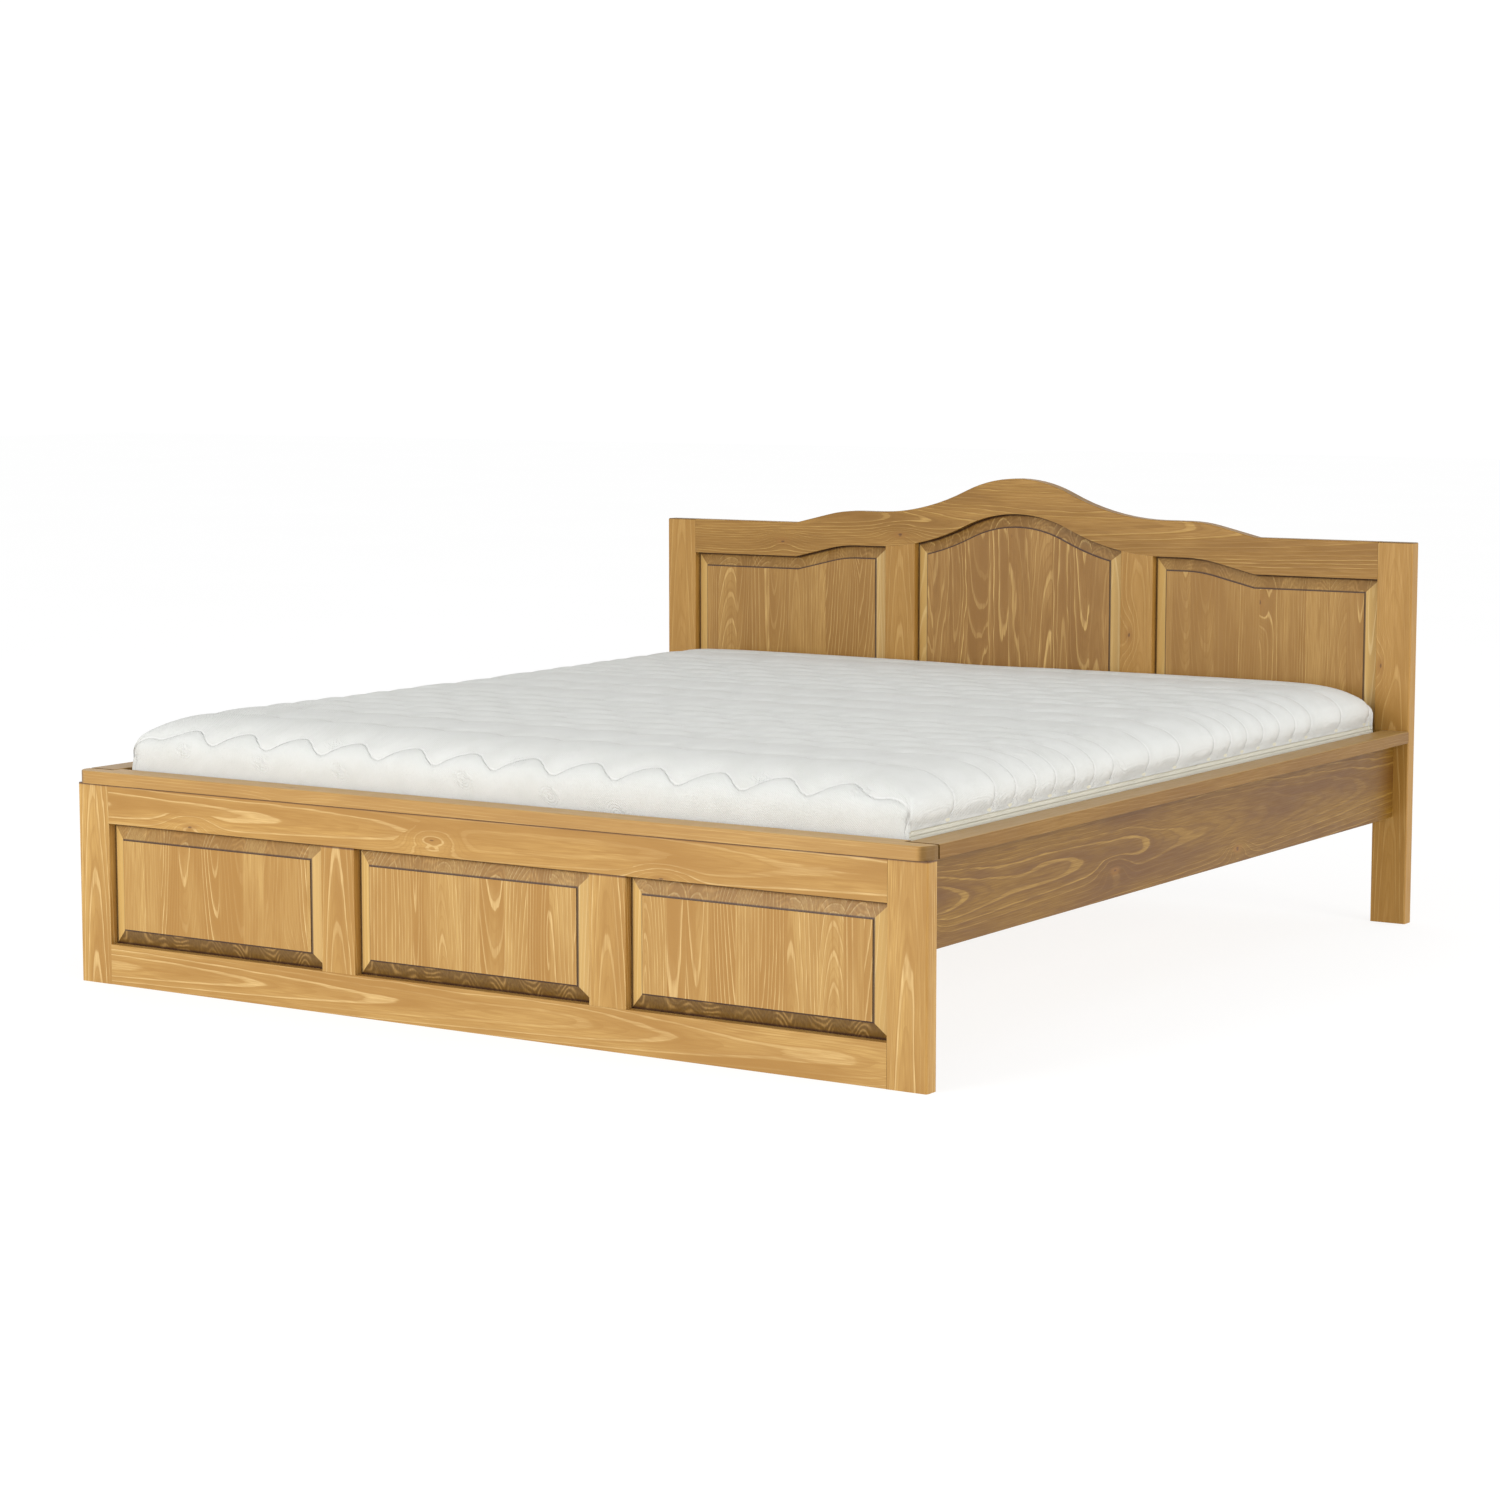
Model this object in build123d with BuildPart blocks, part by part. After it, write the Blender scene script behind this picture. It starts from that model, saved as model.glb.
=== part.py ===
"""A waxed pine double bed for a mattress of 1800 by 2000 mm, in millimetres.

The origin is on the floor at the middle of the bed. +X is to the right seen from the foot, +Y runs from
the foot to the head and +Z is up. The footboard and the headboard are frames of stiles, rails and muntins
round three raised panels. Two side rails hang between them on hook fittings and carry the ledges, the slats
and the mattress. A middle beam on two cleats and one leg holds up the slats at their middle.
"""

import os
from math import cos, radians, sin, sqrt, tan

from build123d import *

os.makedirs("parts", exist_ok=True)

# Overall sizes
overall_width = 1940.0
overall_length = 2100.0

# Frame stock of the two boards
stock = 33.0
member = 80.0
edge_ease = 1.0
upright_round = 5.0
crest_round = 3.0

# Heights of the footboard, the side rails and the headboard
frame_height = 397.0
foot_top_rail_height = 77.0
side_rail_height = 165.0
post_height = 830.0

# Crest line of the headboard: a crown, two valleys, two shoulders and a ramp down to each post
crown_rise = 117.0
shoulder_rise = 31.5
crown_radius = 310.0
crown_turn = 25.8
shoulder_start = 430.0
shoulder_radius = 330.0
shoulder_turn = 13.5
crest_band = 81.0

# Raised panels, held in a groove round each opening
bevel_width = 32.0
field_depth = 6.0
field_step = 2.0
groove_width = 8.0
groove_depth = 12.0
groove_back_lip = 7.0
tongue_play = 0.5
tongue_end_play = 2.0

# Caps on the footboard and on the side rails
cap_thickness = 25.0
cap_overhang = 5.0
foot_cap_depth = 60.0
cap_corner_radius = 27.0
cap_ease = 3.0
cap_end_gap = 5.0
cap_notch_gap = 3.0

# Side rails and ledges
rail_thickness = 28.0
rail_inset = 34.0
ledge_width = 32.0
ledge_height = 30.0
ledge_end_gap = 4.0

# Slats and the webbing that spaces them
slat_count = 13
slat_width = 90.0
slat_thickness = 18.0
slat_side_gap = 13.0
slat_foot_gap = 4.0
slat_head_gap = 15.0
slat_ease = 2.0
strap_place = 590.0
strap_width = 25.0
strap_thickness = 1.8

# Middle beam, its cleats and its leg
beam_width = 45.0
beam_end_gap = 2.0
cleat_thickness = 28.0
leg_width = 45.0
stud_radius = 4.0
stud_length = 60.0
foot_pad_radius = 18.0
foot_pad_height = 8.0
foot_stem_radius = 4.0
foot_stem_length = 36.0
foot_travel = 10.0
foot_stop_gap = 2.0
insert_radius = 6.0
insert_length = 16.0

# Mattress
mattress_thickness = 180.0
mattress_side_gap = 8.0
mattress_end_gap = 3.5
mattress_rest_gap = 0.3
mattress_corner = 30.0
mattress_edge = 22.0
cover_wall = 6.0
core_play = 0.3

# Dowels
dowel_radius = 4.0
frame_dowel_length = 50.0
cap_dowel_length = 40.0
cap_dowel_in_cap = 15.0
cap_dowel_count = 6
cap_dowel_margin = 190.0
dowel_pitch = 30.0
muntin_dowel_pitch = 36.0
dowel_play = 0.1
dowel_end_room = 1.0

# Hook fittings between the boards and the side rails
plate_width = 18.0
plate_height = 130.0
plate_thickness = 2.5
hook_pitch = 60.0
hook_width = 3.0
hook_height = 18.0
hook_reach = 8.0
hook_lip = 6.0
slot_lift = 8.0
fitting_play = 0.3

# Wood screws
screw_shank = 2.0
screw_head = 4.0
screw_head_depth = 2.4
screw_rim = 0.4
screw_play = 0.1
plate_screw_length = 22.0
hook_plate_screw_pitch = 92.0
catch_plate_screw_pitch = 112.0
ledge_screw_length = 46.0
ledge_screw_count = 8
ledge_screw_margin = 120.0
cleat_screw_length = 45.0
cleat_screw_pitch = 44.0
bracket_leg = 38.0
bracket_width = 24.0
bracket_thickness = 2.0
bracket_screw_length = 16.0
bracket_screw_from_end = 10.0

# Places along the bed
foot_front = -overall_length / 2 + cap_overhang
foot_back = foot_front + stock
head_back = overall_length / 2
head_front = head_back - stock
foot_cap_back = foot_front - cap_overhang + foot_cap_depth
rail_length = head_front - foot_back
rail_middle = (head_front + foot_back) / 2

# Places across the bed
half_width = overall_width / 2
half_rail = half_width - member
opening_width = (overall_width - 4 * member) / 3
bay_pitch = opening_width + member
muntin_place = bay_pitch / 2
rail_outer = half_width - rail_inset
rail_inner = rail_outer - rail_thickness
fitting_place = (rail_outer + rail_inner) / 2
bays = {"left": -bay_pitch, "centre": 0.0, "right": bay_pitch}
sides = {"left": -1, "right": 1}

# Heights: the ledge, the beam and the cleats take 14, 12 and 7 of the 33 parts of the side rail's height
rail_part = side_rail_height / 33
ledge_drop = 14 * rail_part
beam_height = 12 * rail_part
cleat_height = 7 * rail_part
rail_bottom = frame_height - side_rail_height
rail_mid_height = frame_height - side_rail_height / 2
foot_opening_top = frame_height - foot_top_rail_height
head_opening_bottom = rail_bottom + member
ledge_top = frame_height - ledge_drop
slat_top = ledge_top + slat_thickness
beam_bottom = ledge_top - beam_height
cleat_bottom = beam_bottom - cleat_height
leg_bottom = foot_pad_height + foot_travel + foot_stop_gap
mattress_bottom = slat_top + mattress_rest_gap

# Crest line, worked out from its rises and radii
crown_height = post_height + crown_rise
shelf_height = post_height + shoulder_rise
crown_fall = 1 - cos(radians(crown_turn))
valley_radius = (crown_height - shelf_height) / crown_fall - crown_radius
valley_end = (crown_radius + valley_radius) * sin(radians(crown_turn))
shoulder_end = shoulder_start + shoulder_radius * sin(radians(shoulder_turn))
shoulder_foot = shelf_height - shoulder_radius * (1 - cos(radians(shoulder_turn)))
ramp_end = shoulder_end + (shoulder_foot - post_height) / tan(radians(shoulder_turn))

# Depths inside a board, measured back from its front face
groove_front = stock - groove_back_lip - groove_width
tongue_front = groove_front + tongue_play
tongue_back = groove_front + groove_width - tongue_play
bevel_front = field_depth + field_step


def facing_foot(depth_place):
    """Return the upright plane at this Y, whose sketches are extruded towards the foot."""
    return Plane.XZ.offset(-depth_place)


def write(piece, name):
    """Label a finished piece and write its STEP file."""
    piece.part.label = name
    export_step(piece.part, f"parts/{name}.step")


def write_mirrored(piece, name):
    """Write the piece's mirror image about the middle of the bed."""
    with BuildPart() as twin:
        add(mirror(piece.part, about=Plane.YZ))
    write(twin, name)


def crest_height(across):
    """Return the height of the crest line at this distance from the middle."""
    place = abs(across)
    crown_end = crown_radius * sin(radians(crown_turn))
    if place < crown_end:
        return crown_height - crown_radius + sqrt(crown_radius**2 - place**2)
    if place < valley_end:
        return shelf_height + valley_radius - sqrt(valley_radius**2 - (valley_end - place) ** 2)
    if place < shoulder_start:
        return shelf_height
    if place < shoulder_end:
        run = place - shoulder_start
        return shelf_height - shoulder_radius + sqrt(shoulder_radius**2 - run**2)
    if place < ramp_end:
        return post_height + (ramp_end - place) * tan(radians(shoulder_turn))
    return post_height


def under_crest(lowered, bottom):
    """Return the face from a level line up to the crest line, lowered by an amount."""
    with BuildSketch(Plane.XY) as face:
        with BuildLine() as outline:
            crown = JernArc((0, crown_height - lowered), (1, 0), crown_radius, -crown_turn)
            valley = JernArc(crown @ 1, crown % 1, valley_radius, crown_turn)
            shelf = Line(valley @ 1, (shoulder_start, shelf_height - lowered))
            shoulder = JernArc(shelf @ 1, (1, 0), shoulder_radius, -shoulder_turn)
            ramp = Line(shoulder @ 1, (ramp_end, post_height - lowered))
            Polyline(
                ramp @ 1,
                (half_rail, post_height - lowered),
                (half_rail, bottom),
                (0, bottom),
            )
            mirror(outline.line, about=Plane.YZ)
        make_face()
    return face.sketch


def bay_opening(board, bay):
    """Return the face of one panel opening of the footboard or the headboard."""
    bottom = member if board == "foot" else head_opening_bottom
    top = foot_opening_top if board == "foot" else crown_height
    with BuildSketch(Plane.XY) as face:
        with Locations((bays[bay], (bottom + top) / 2)):
            Rectangle(opening_width, top - bottom)
        if board == "head":
            add(under_crest(crest_band, bottom), mode=Mode.INTERSECT)
    return face.sketch


def groove_cutter(board, front):
    """Return the grooves round a board's three openings, as one tool to cut its members with."""
    with BuildPart() as cutter:
        for bay in bays:
            with BuildSketch(facing_foot(front + groove_front + groove_width)):
                add(bay_opening(board, bay))
                offset(amount=groove_depth, kind=Kind.INTERSECTION)
            extrude(amount=groove_width)
    return cutter.part


def joint_dowels(front, rail_ends, muntin_ends, length, radius):
    """Return the dowels of a board: two across each rail end and two up each muntin end."""
    depth = front + stock / 2
    level = [
        Location((side * half_rail, depth, height + step), (0, 90, 0))
        for side in sides.values()
        for height in rail_ends
        for step in (-dowel_pitch / 2, dowel_pitch / 2)
    ]
    upright = [
        Location((side * muntin_place + step, depth, height), (0, 0, 0))
        for side in sides.values()
        for height in muntin_ends
        for step in (-muntin_dowel_pitch / 2, muntin_dowel_pitch / 2)
    ]
    with BuildPart() as dowels:
        with Locations(*level, *upright):
            Cylinder(radius, length)
    return dowels.part


def screw_shape(length, play=0.0):
    """Return a countersunk screw that points down from the origin, or with play the hole for it."""
    with BuildPart() as screw:
        with BuildSketch(Plane.XZ):
            with BuildLine():
                Polyline(
                    (0, 0),
                    (screw_head + play, 0),
                    (screw_head + play, -screw_rim - play),
                    (screw_shank + play, -screw_head_depth - play),
                    (screw_shank + play, -length + screw_shank),
                    (0, -length - play),
                    close=True,
                )
            make_face()
        revolve(axis=Axis.Z)
    return screw.part


def screws_at(places, length, play=0.0):
    """Return screws, or with play their holes, at each place."""
    shape = screw_shape(length, play)
    with BuildPart() as screws:
        with Locations(*places):
            add(shape)
    return screws.part


def even_places(first, last, count):
    """Return evenly spaced values from first to last."""
    step = (last - first) / (count - 1)
    return [first + step * index for index in range(count)]


# Dowels of the two boards, the caps and their holes
foot_rail_ends = (member / 2, (foot_opening_top + frame_height) / 2)
foot_muntin_ends = (member, foot_opening_top)
head_rail_ends = (rail_bottom + member / 2, post_height - crest_band / 2)
head_muntin_ends = (head_opening_bottom, crest_height(muntin_place) - crest_band)
hole_radius = dowel_radius + dowel_play
hole_length = frame_dowel_length + 2 * dowel_end_room
foot_dowel_holes = joint_dowels(foot_front, foot_rail_ends, foot_muntin_ends, hole_length, hole_radius)
head_dowel_holes = joint_dowels(head_front, head_rail_ends, head_muntin_ends, hole_length, hole_radius)

cap_dowel_height = frame_height + cap_dowel_in_cap - cap_dowel_length / 2
foot_cap_dowel_places = [
    Location((across, foot_front + stock / 2, cap_dowel_height))
    for across in even_places(cap_dowel_margin - half_width, half_width - cap_dowel_margin, cap_dowel_count)
]
side_cap_dowel_places = [
    Location((side * fitting_place, along, cap_dowel_height))
    for side in sides.values()
    for along in even_places(foot_back + cap_dowel_margin, head_front - cap_dowel_margin, cap_dowel_count)
]
with BuildPart() as cap_dowel_holes:
    with Locations(*foot_cap_dowel_places, *side_cap_dowel_places):
        Cylinder(hole_radius, cap_dowel_length + 2 * dowel_end_room)

# Corners where a side rail meets a board: side, contact plane and the way the rail runs from it
corners = [(side, plane, way) for side in sides.values() for plane, way in ((foot_back, 1), (head_front, -1))]
rail_plate_screw_places = [
    Location((side * fitting_place, plane, rail_mid_height + step), (90 * way, 0, 0))
    for side, plane, way in corners
    for step in (-hook_plate_screw_pitch / 2, hook_plate_screw_pitch / 2)
]
board_plate_screw_places = [
    Location((side * fitting_place, plane, rail_mid_height + step), (-90 * way, 0, 0))
    for side, plane, way in corners
    for step in (-catch_plate_screw_pitch / 2, catch_plate_screw_pitch / 2)
]
rail_plate_screw_holes = screws_at(rail_plate_screw_places, plate_screw_length, screw_play)
board_plate_screw_holes = screws_at(board_plate_screw_places, plate_screw_length, screw_play)

ledge_screw_places = [
    Location((side * (rail_inner - ledge_width), along, ledge_top - ledge_height / 2), (0, -90 * side, 0))
    for side in sides.values()
    for along in even_places(foot_back + ledge_screw_margin, head_front - ledge_screw_margin, ledge_screw_count)
]
ledge_screw_holes = screws_at(ledge_screw_places, ledge_screw_length, screw_play)

# Cleats are held by two screws at each muntin, low enough to meet the headboard's bottom rail too
cleat_screw_height = cleat_bottom + cleat_height / 2
cleat_screw_places = [
    Location((side * muntin_place + step, face, cleat_screw_height), (90 * way, 0, 0))
    for side in sides.values()
    for step in (-cleat_screw_pitch / 2, cleat_screw_pitch / 2)
    for face, way in ((foot_back + cleat_thickness, -1), (head_front - cleat_thickness, 1))
]
cleat_screw_holes = screws_at(cleat_screw_places, cleat_screw_length, screw_play)


def hook_slots(play, top_lift, reach):
    """Return the clear space round the hooks at all four corners, reaching into the boards."""
    with BuildPart() as space:
        for side, plane, way in corners:
            for step in (-hook_pitch / 2, hook_pitch / 2):
                low = rail_mid_height + step - hook_height / 2 - (hook_lip if reach > plate_thickness else 0)
                high = rail_mid_height + step + hook_height / 2 + top_lift
                with Locations((side * fitting_place, plane - way * reach / 2, (low + high) / 2)):
                    Box(hook_width + 2 * play, reach, high - low + 2 * fitting_play)
    return space.part


def plate_recess(play, into_rail):
    """Return the plates at all four corners, on the rail's or on the board's side of the joint."""
    with BuildPart() as recess:
        for side, plane, way in corners:
            step = way * plate_thickness / 2
            with Locations((side * fitting_place, plane + (step if into_rail else -step), rail_mid_height)):
                Box(plate_width + 2 * play, plate_thickness, plate_height + 2 * play)
    return recess.part


pocket_reach = plate_thickness + hook_reach + 1.0
board_pockets = hook_slots(1.0, slot_lift, pocket_reach)
board_recesses = plate_recess(fitting_play, False)
rail_recesses = plate_recess(fitting_play, True)

# Footboard and headboard members
foot_grooves = groove_cutter("foot", foot_front)
head_grooves = groove_cutter("head", head_front)

with BuildPart() as foot_stile:
    with BuildSketch(facing_foot(foot_back)):
        with Locations((half_width - member / 2, frame_height / 2)):
            Rectangle(member, frame_height)
    extrude(amount=stock)
    uprights = foot_stile.edges().filter_by(Axis.Z).group_by(Axis.X)
    fillet(uprights[0], edge_ease)
    outer_uprights = foot_stile.edges().filter_by(Axis.Z).group_by(Axis.X)[-1]
    fillet(outer_uprights, upright_round)
    for tool in (foot_grooves, foot_dowel_holes, board_recesses, board_pockets, board_plate_screw_holes):
        add(tool, mode=Mode.SUBTRACT)
write(foot_stile, "foot_stile_right")
write_mirrored(foot_stile, "foot_stile_left")

with BuildPart() as head_post:
    with BuildSketch(facing_foot(head_back)):
        with Locations((half_width - member / 2, post_height / 2)):
            Rectangle(member, post_height)
    extrude(amount=stock)
    inner_uprights = head_post.edges().filter_by(Axis.Z).group_by(Axis.X)[0]
    fillet(inner_uprights, edge_ease)
    outer_uprights = head_post.edges().filter_by(Axis.Z).group_by(Axis.X)[-1]
    fillet(outer_uprights, crest_round)
    top_edges = head_post.faces().sort_by(Axis.Z)[-1].edges()
    fillet(top_edges.filter_by(Axis.X), crest_round)
    for tool in (head_grooves, head_dowel_holes, board_recesses, board_pockets, board_plate_screw_holes):
        add(tool, mode=Mode.SUBTRACT)
write(head_post, "head_post_right")
write_mirrored(head_post, "head_post_left")

level_rails = {
    "foot_bottom_rail": (foot_back, 0.0, member, foot_grooves, foot_dowel_holes),
    "foot_top_rail": (foot_back, foot_opening_top, frame_height, foot_grooves, foot_dowel_holes),
    "head_bottom_rail": (head_back, rail_bottom, head_opening_bottom, head_grooves, head_dowel_holes),
}
for name, (back, bottom, top, grooves, holes) in level_rails.items():
    with BuildPart() as level_rail:
        with BuildSketch(facing_foot(back)):
            with Locations((0, (bottom + top) / 2)):
                Rectangle(2 * half_rail, top - bottom)
        extrude(amount=stock)
        fillet(level_rail.edges().filter_by(Axis.X), edge_ease)
        for tool in (grooves, holes, cap_dowel_holes.part, cleat_screw_holes):
            add(tool, mode=Mode.SUBTRACT)
    write(level_rail, name)

with BuildPart() as head_top_rail:
    with BuildSketch(facing_foot(head_back)):
        add(under_crest(0.0, post_height - crest_band))
        add(under_crest(crest_band, rail_bottom), mode=Mode.SUBTRACT)
    extrude(amount=stock)
    crest_faces = [
        face
        for face in head_top_rail.faces()
        if abs(face.center().Z - crest_height(face.center().X)) < crest_band / 4
        and abs(face.normal_at().Y) < 0.1
        and abs(face.center().X) < half_rail - 1
    ]
    crest_edges = [
        edge
        for face in crest_faces
        for edge in face.edges()
        if abs(edge.tangent_at(0.5).Y) < 0.1 and abs(edge.tangent_at(0.5).X) > 0.1
    ]
    fillet(crest_edges, crest_round)
    for tool in (head_grooves, head_dowel_holes):
        add(tool, mode=Mode.SUBTRACT)
write(head_top_rail, "head_top_rail")

muntins = {
    "foot_muntin": (foot_back, member, foot_opening_top, foot_grooves, foot_dowel_holes),
    "head_muntin": (head_back, head_opening_bottom, crown_height, head_grooves, head_dowel_holes),
}
for name, (back, bottom, top, grooves, holes) in muntins.items():
    with BuildPart() as muntin:
        with BuildSketch(facing_foot(back)):
            with Locations((muntin_place, (bottom + top) / 2)):
                Rectangle(member, top - bottom)
            if name == "head_muntin":
                add(under_crest(crest_band, bottom), mode=Mode.INTERSECT)
        extrude(amount=stock)
        fillet(muntin.edges().filter_by(Axis.Z), edge_ease)
        for tool in (grooves, holes, cleat_screw_holes):
            add(tool, mode=Mode.SUBTRACT)
    write(muntin, f"{name}_right")
    write_mirrored(muntin, f"{name}_left")

# Raised panels: a tongue all round, a wide bevel and a flat field with a small step round it
for board, front in (("foot", foot_front), ("head", head_front)):
    for bay in bays:
        opening = bay_opening(board, bay)
        with BuildPart() as panel:
            with BuildSketch(facing_foot(front + tongue_back)):
                add(opening)
                offset(amount=groove_depth - tongue_end_play, kind=Kind.INTERSECTION)
            extrude(amount=tongue_back - tongue_front)
            with BuildSketch(facing_foot(front + tongue_front)):
                add(opening)
            with BuildSketch(facing_foot(front + bevel_front)):
                add(opening)
                offset(amount=-bevel_width, kind=Kind.INTERSECTION)
            loft(ruled=True)
            with BuildSketch(facing_foot(front + bevel_front)):
                add(opening)
                offset(amount=-bevel_width, kind=Kind.INTERSECTION)
            extrude(amount=field_step)
        write(panel, f"{board}_panel_{bay}")

with BuildPart() as foot_dowels:
    add(joint_dowels(foot_front, foot_rail_ends, foot_muntin_ends, frame_dowel_length, dowel_radius))
write(foot_dowels, "foot_dowels")

with BuildPart() as head_dowels:
    add(joint_dowels(head_front, head_rail_ends, head_muntin_ends, frame_dowel_length, dowel_radius))
write(head_dowels, "head_dowels")

# The foot cap overhangs the frame at the front and runs in between the side caps at the back
with BuildPart() as foot_cap:
    with BuildSketch(Plane.XY.offset(frame_height)) as cap_plan:
        with Locations((0, (foot_front - cap_overhang + foot_back) / 2)):
            Rectangle(overall_width, foot_back - foot_front + cap_overhang)
        fillet(cap_plan.vertices().group_by(Axis.Y)[0], cap_corner_radius)
        with Locations((0, (foot_back + foot_cap_back) / 2)):
            Rectangle(2 * (rail_inner - cap_notch_gap), foot_cap_back - foot_back)
    extrude(amount=cap_thickness)
    fillet(foot_cap.faces().sort_by(Axis.Z)[-1].edges(), cap_ease)
    add(cap_dowel_holes.part, mode=Mode.SUBTRACT)
write(foot_cap, "foot_cap")

# Side rails with their caps and ledges
with BuildPart() as side_rail:
    with BuildSketch(Plane.XY.offset(rail_bottom)):
        with Locations((fitting_place, rail_middle)):
            Rectangle(rail_thickness, rail_length)
    extrude(amount=side_rail_height)
    fillet(side_rail.edges().filter_by(Axis.Y).group_by(Axis.Z)[0], slat_ease)
    for tool in (cap_dowel_holes.part, rail_recesses, rail_plate_screw_holes, ledge_screw_holes):
        add(tool, mode=Mode.SUBTRACT)
write(side_rail, "side_rail_right")
write_mirrored(side_rail, "side_rail_left")

with BuildPart() as side_cap:
    with BuildSketch(Plane.XY.offset(frame_height)):
        with Locations(((rail_inner + half_width) / 2, rail_middle + cap_end_gap / 2)):
            Rectangle(half_width - rail_inner, rail_length - cap_end_gap)
    extrude(amount=cap_thickness)
    fillet(side_cap.edges().filter_by(Axis.Y).group_by(Axis.Z)[-1], cap_ease)
    add(cap_dowel_holes.part, mode=Mode.SUBTRACT)
write(side_cap, "side_cap_right")
write_mirrored(side_cap, "side_cap_left")

with BuildPart() as slat_ledge:
    with BuildSketch(Plane.XY.offset(ledge_top - ledge_height)):
        with Locations((rail_inner - ledge_width / 2, rail_middle)):
            Rectangle(ledge_width, rail_length - 2 * ledge_end_gap)
    extrude(amount=ledge_height)
    add(ledge_screw_holes, mode=Mode.SUBTRACT)
write(slat_ledge, "slat_ledge_right")
write_mirrored(slat_ledge, "slat_ledge_left")

with BuildPart() as cap_dowels:
    with Locations(*foot_cap_dowel_places, *side_cap_dowel_places):
        Cylinder(dowel_radius, cap_dowel_length)
write(cap_dowels, "cap_dowels")

with BuildPart() as ledge_screws:
    add(screws_at(ledge_screw_places, ledge_screw_length))
write(ledge_screws, "ledge_screws")

# Hook fittings: a hook plate in each rail end and a slotted catch plate in each board
with BuildPart() as hook_plates:
    add(plate_recess(0.0, True))
    for side, plane, way in corners:
        for step in (-hook_pitch / 2, hook_pitch / 2):
            low = rail_mid_height + step - hook_height / 2
            near = plane - way * (plate_thickness + fitting_play)
            far = plane - way * (plate_thickness + hook_reach)
            with BuildSketch(Plane.YZ.offset(side * fitting_place)):
                with BuildLine():
                    Polyline(
                        (plane, low),
                        (near, low),
                        (near, low - hook_lip),
                        (far, low - hook_lip),
                        (far, low + hook_height),
                        (plane, low + hook_height),
                        close=True,
                    )
                make_face()
            extrude(amount=hook_width / 2, both=True)
    add(rail_plate_screw_holes, mode=Mode.SUBTRACT)
write(hook_plates, "hook_plates")

with BuildPart() as catch_plates:
    add(plate_recess(0.0, False))
    add(hook_slots(fitting_play, slot_lift, plate_thickness), mode=Mode.SUBTRACT)
    add(board_plate_screw_holes, mode=Mode.SUBTRACT)
write(catch_plates, "catch_plates")

with BuildPart() as plate_screws:
    add(screws_at(rail_plate_screw_places + board_plate_screw_places, plate_screw_length))
write(plate_screws, "plate_screws")

# Slats, clear of the foot cap so that they lift out, held at their spacing by two webbing straps under them
slat_length = 2 * (rail_inner - slat_side_gap)
first_slat_place = foot_cap_back + slat_foot_gap + slat_width / 2
last_slat_place = head_front - slat_head_gap - slat_width / 2
slat_places = even_places(first_slat_place, last_slat_place, slat_count)
for number, along in enumerate(slat_places, start=1):
    with BuildPart() as slat:
        with BuildSketch(Plane.XY.offset(ledge_top)):
            with Locations((0, along)):
                Rectangle(slat_length, slat_width)
        extrude(amount=slat_thickness)
        fillet(slat.edges().filter_by(Axis.X).group_by(Axis.Z)[-1], slat_ease)
    write(slat, f"slat_{number:02d}")

with BuildPart() as slat_strap:
    with BuildSketch(Plane.XY.offset(ledge_top - strap_thickness)):
        with Locations((strap_place, (slat_places[0] + slat_places[-1]) / 2)):
            Rectangle(strap_width, slat_places[-1] - slat_places[0] + slat_width)
    extrude(amount=strap_thickness)
write(slat_strap, "slat_strap_right")
write_mirrored(slat_strap, "slat_strap_left")

# Middle beam on its two cleats
beam_length = rail_length - 2 * beam_end_gap
bracket_hold = bracket_leg - bracket_screw_from_end
beam_ends = ((foot_back + cleat_thickness / 2, 1), (head_front - cleat_thickness / 2, -1))
side_screw_places = [
    Location((side * (beam_width / 2 + bracket_thickness), along, beam_bottom + bracket_hold), (0, 90 * side, 0))
    for side in sides.values()
    for along, way in beam_ends
]
down_screw_places = [
    Location((side * (beam_width / 2 + bracket_hold), along, beam_bottom + bracket_thickness))
    for side in sides.values()
    for along, way in beam_ends
]
bracket_screw_places = side_screw_places + down_screw_places
bracket_screw_holes = screws_at(bracket_screw_places, bracket_screw_length, screw_play)

with BuildPart() as stud_hole:
    with Locations((0, rail_middle, beam_bottom)):
        Cylinder(stud_radius + dowel_play, stud_length + 2 * dowel_end_room)

with BuildPart() as centre_beam:
    with BuildSketch(Plane.XY.offset(beam_bottom)):
        with Locations((0, rail_middle)):
            Rectangle(beam_width, beam_length)
    extrude(amount=beam_height)
    add(stud_hole.part, mode=Mode.SUBTRACT)
    add(bracket_screw_holes, mode=Mode.SUBTRACT)
write(centre_beam, "centre_beam")

for name, along in (("foot_cleat", beam_ends[0][0]), ("head_cleat", beam_ends[1][0])):
    with BuildPart() as cleat:
        with BuildSketch(Plane.XY.offset(cleat_bottom)):
            with Locations((0, along)):
                Rectangle(2 * (muntin_place + member / 2), cleat_thickness)
        extrude(amount=cleat_height)
        add(cleat_screw_holes, mode=Mode.SUBTRACT)
        add(bracket_screw_holes, mode=Mode.SUBTRACT)
    write(cleat, name)

with BuildPart() as cleat_screws:
    add(screws_at(cleat_screw_places, cleat_screw_length))
write(cleat_screws, "cleat_screws")

with BuildPart() as beam_brackets:
    for side in sides.values():
        for along, way in beam_ends:
            with BuildSketch(Plane.XZ.offset(-along)):
                with Locations((side * (beam_width / 2 + bracket_leg / 2), beam_bottom + bracket_thickness / 2)):
                    Rectangle(bracket_leg, bracket_thickness)
                with Locations((side * (beam_width + bracket_thickness) / 2, beam_bottom + bracket_leg / 2)):
                    Rectangle(bracket_thickness, bracket_leg)
            extrude(amount=bracket_width / 2, both=True)
    add(bracket_screw_holes, mode=Mode.SUBTRACT)
write(beam_brackets, "beam_brackets")

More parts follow.
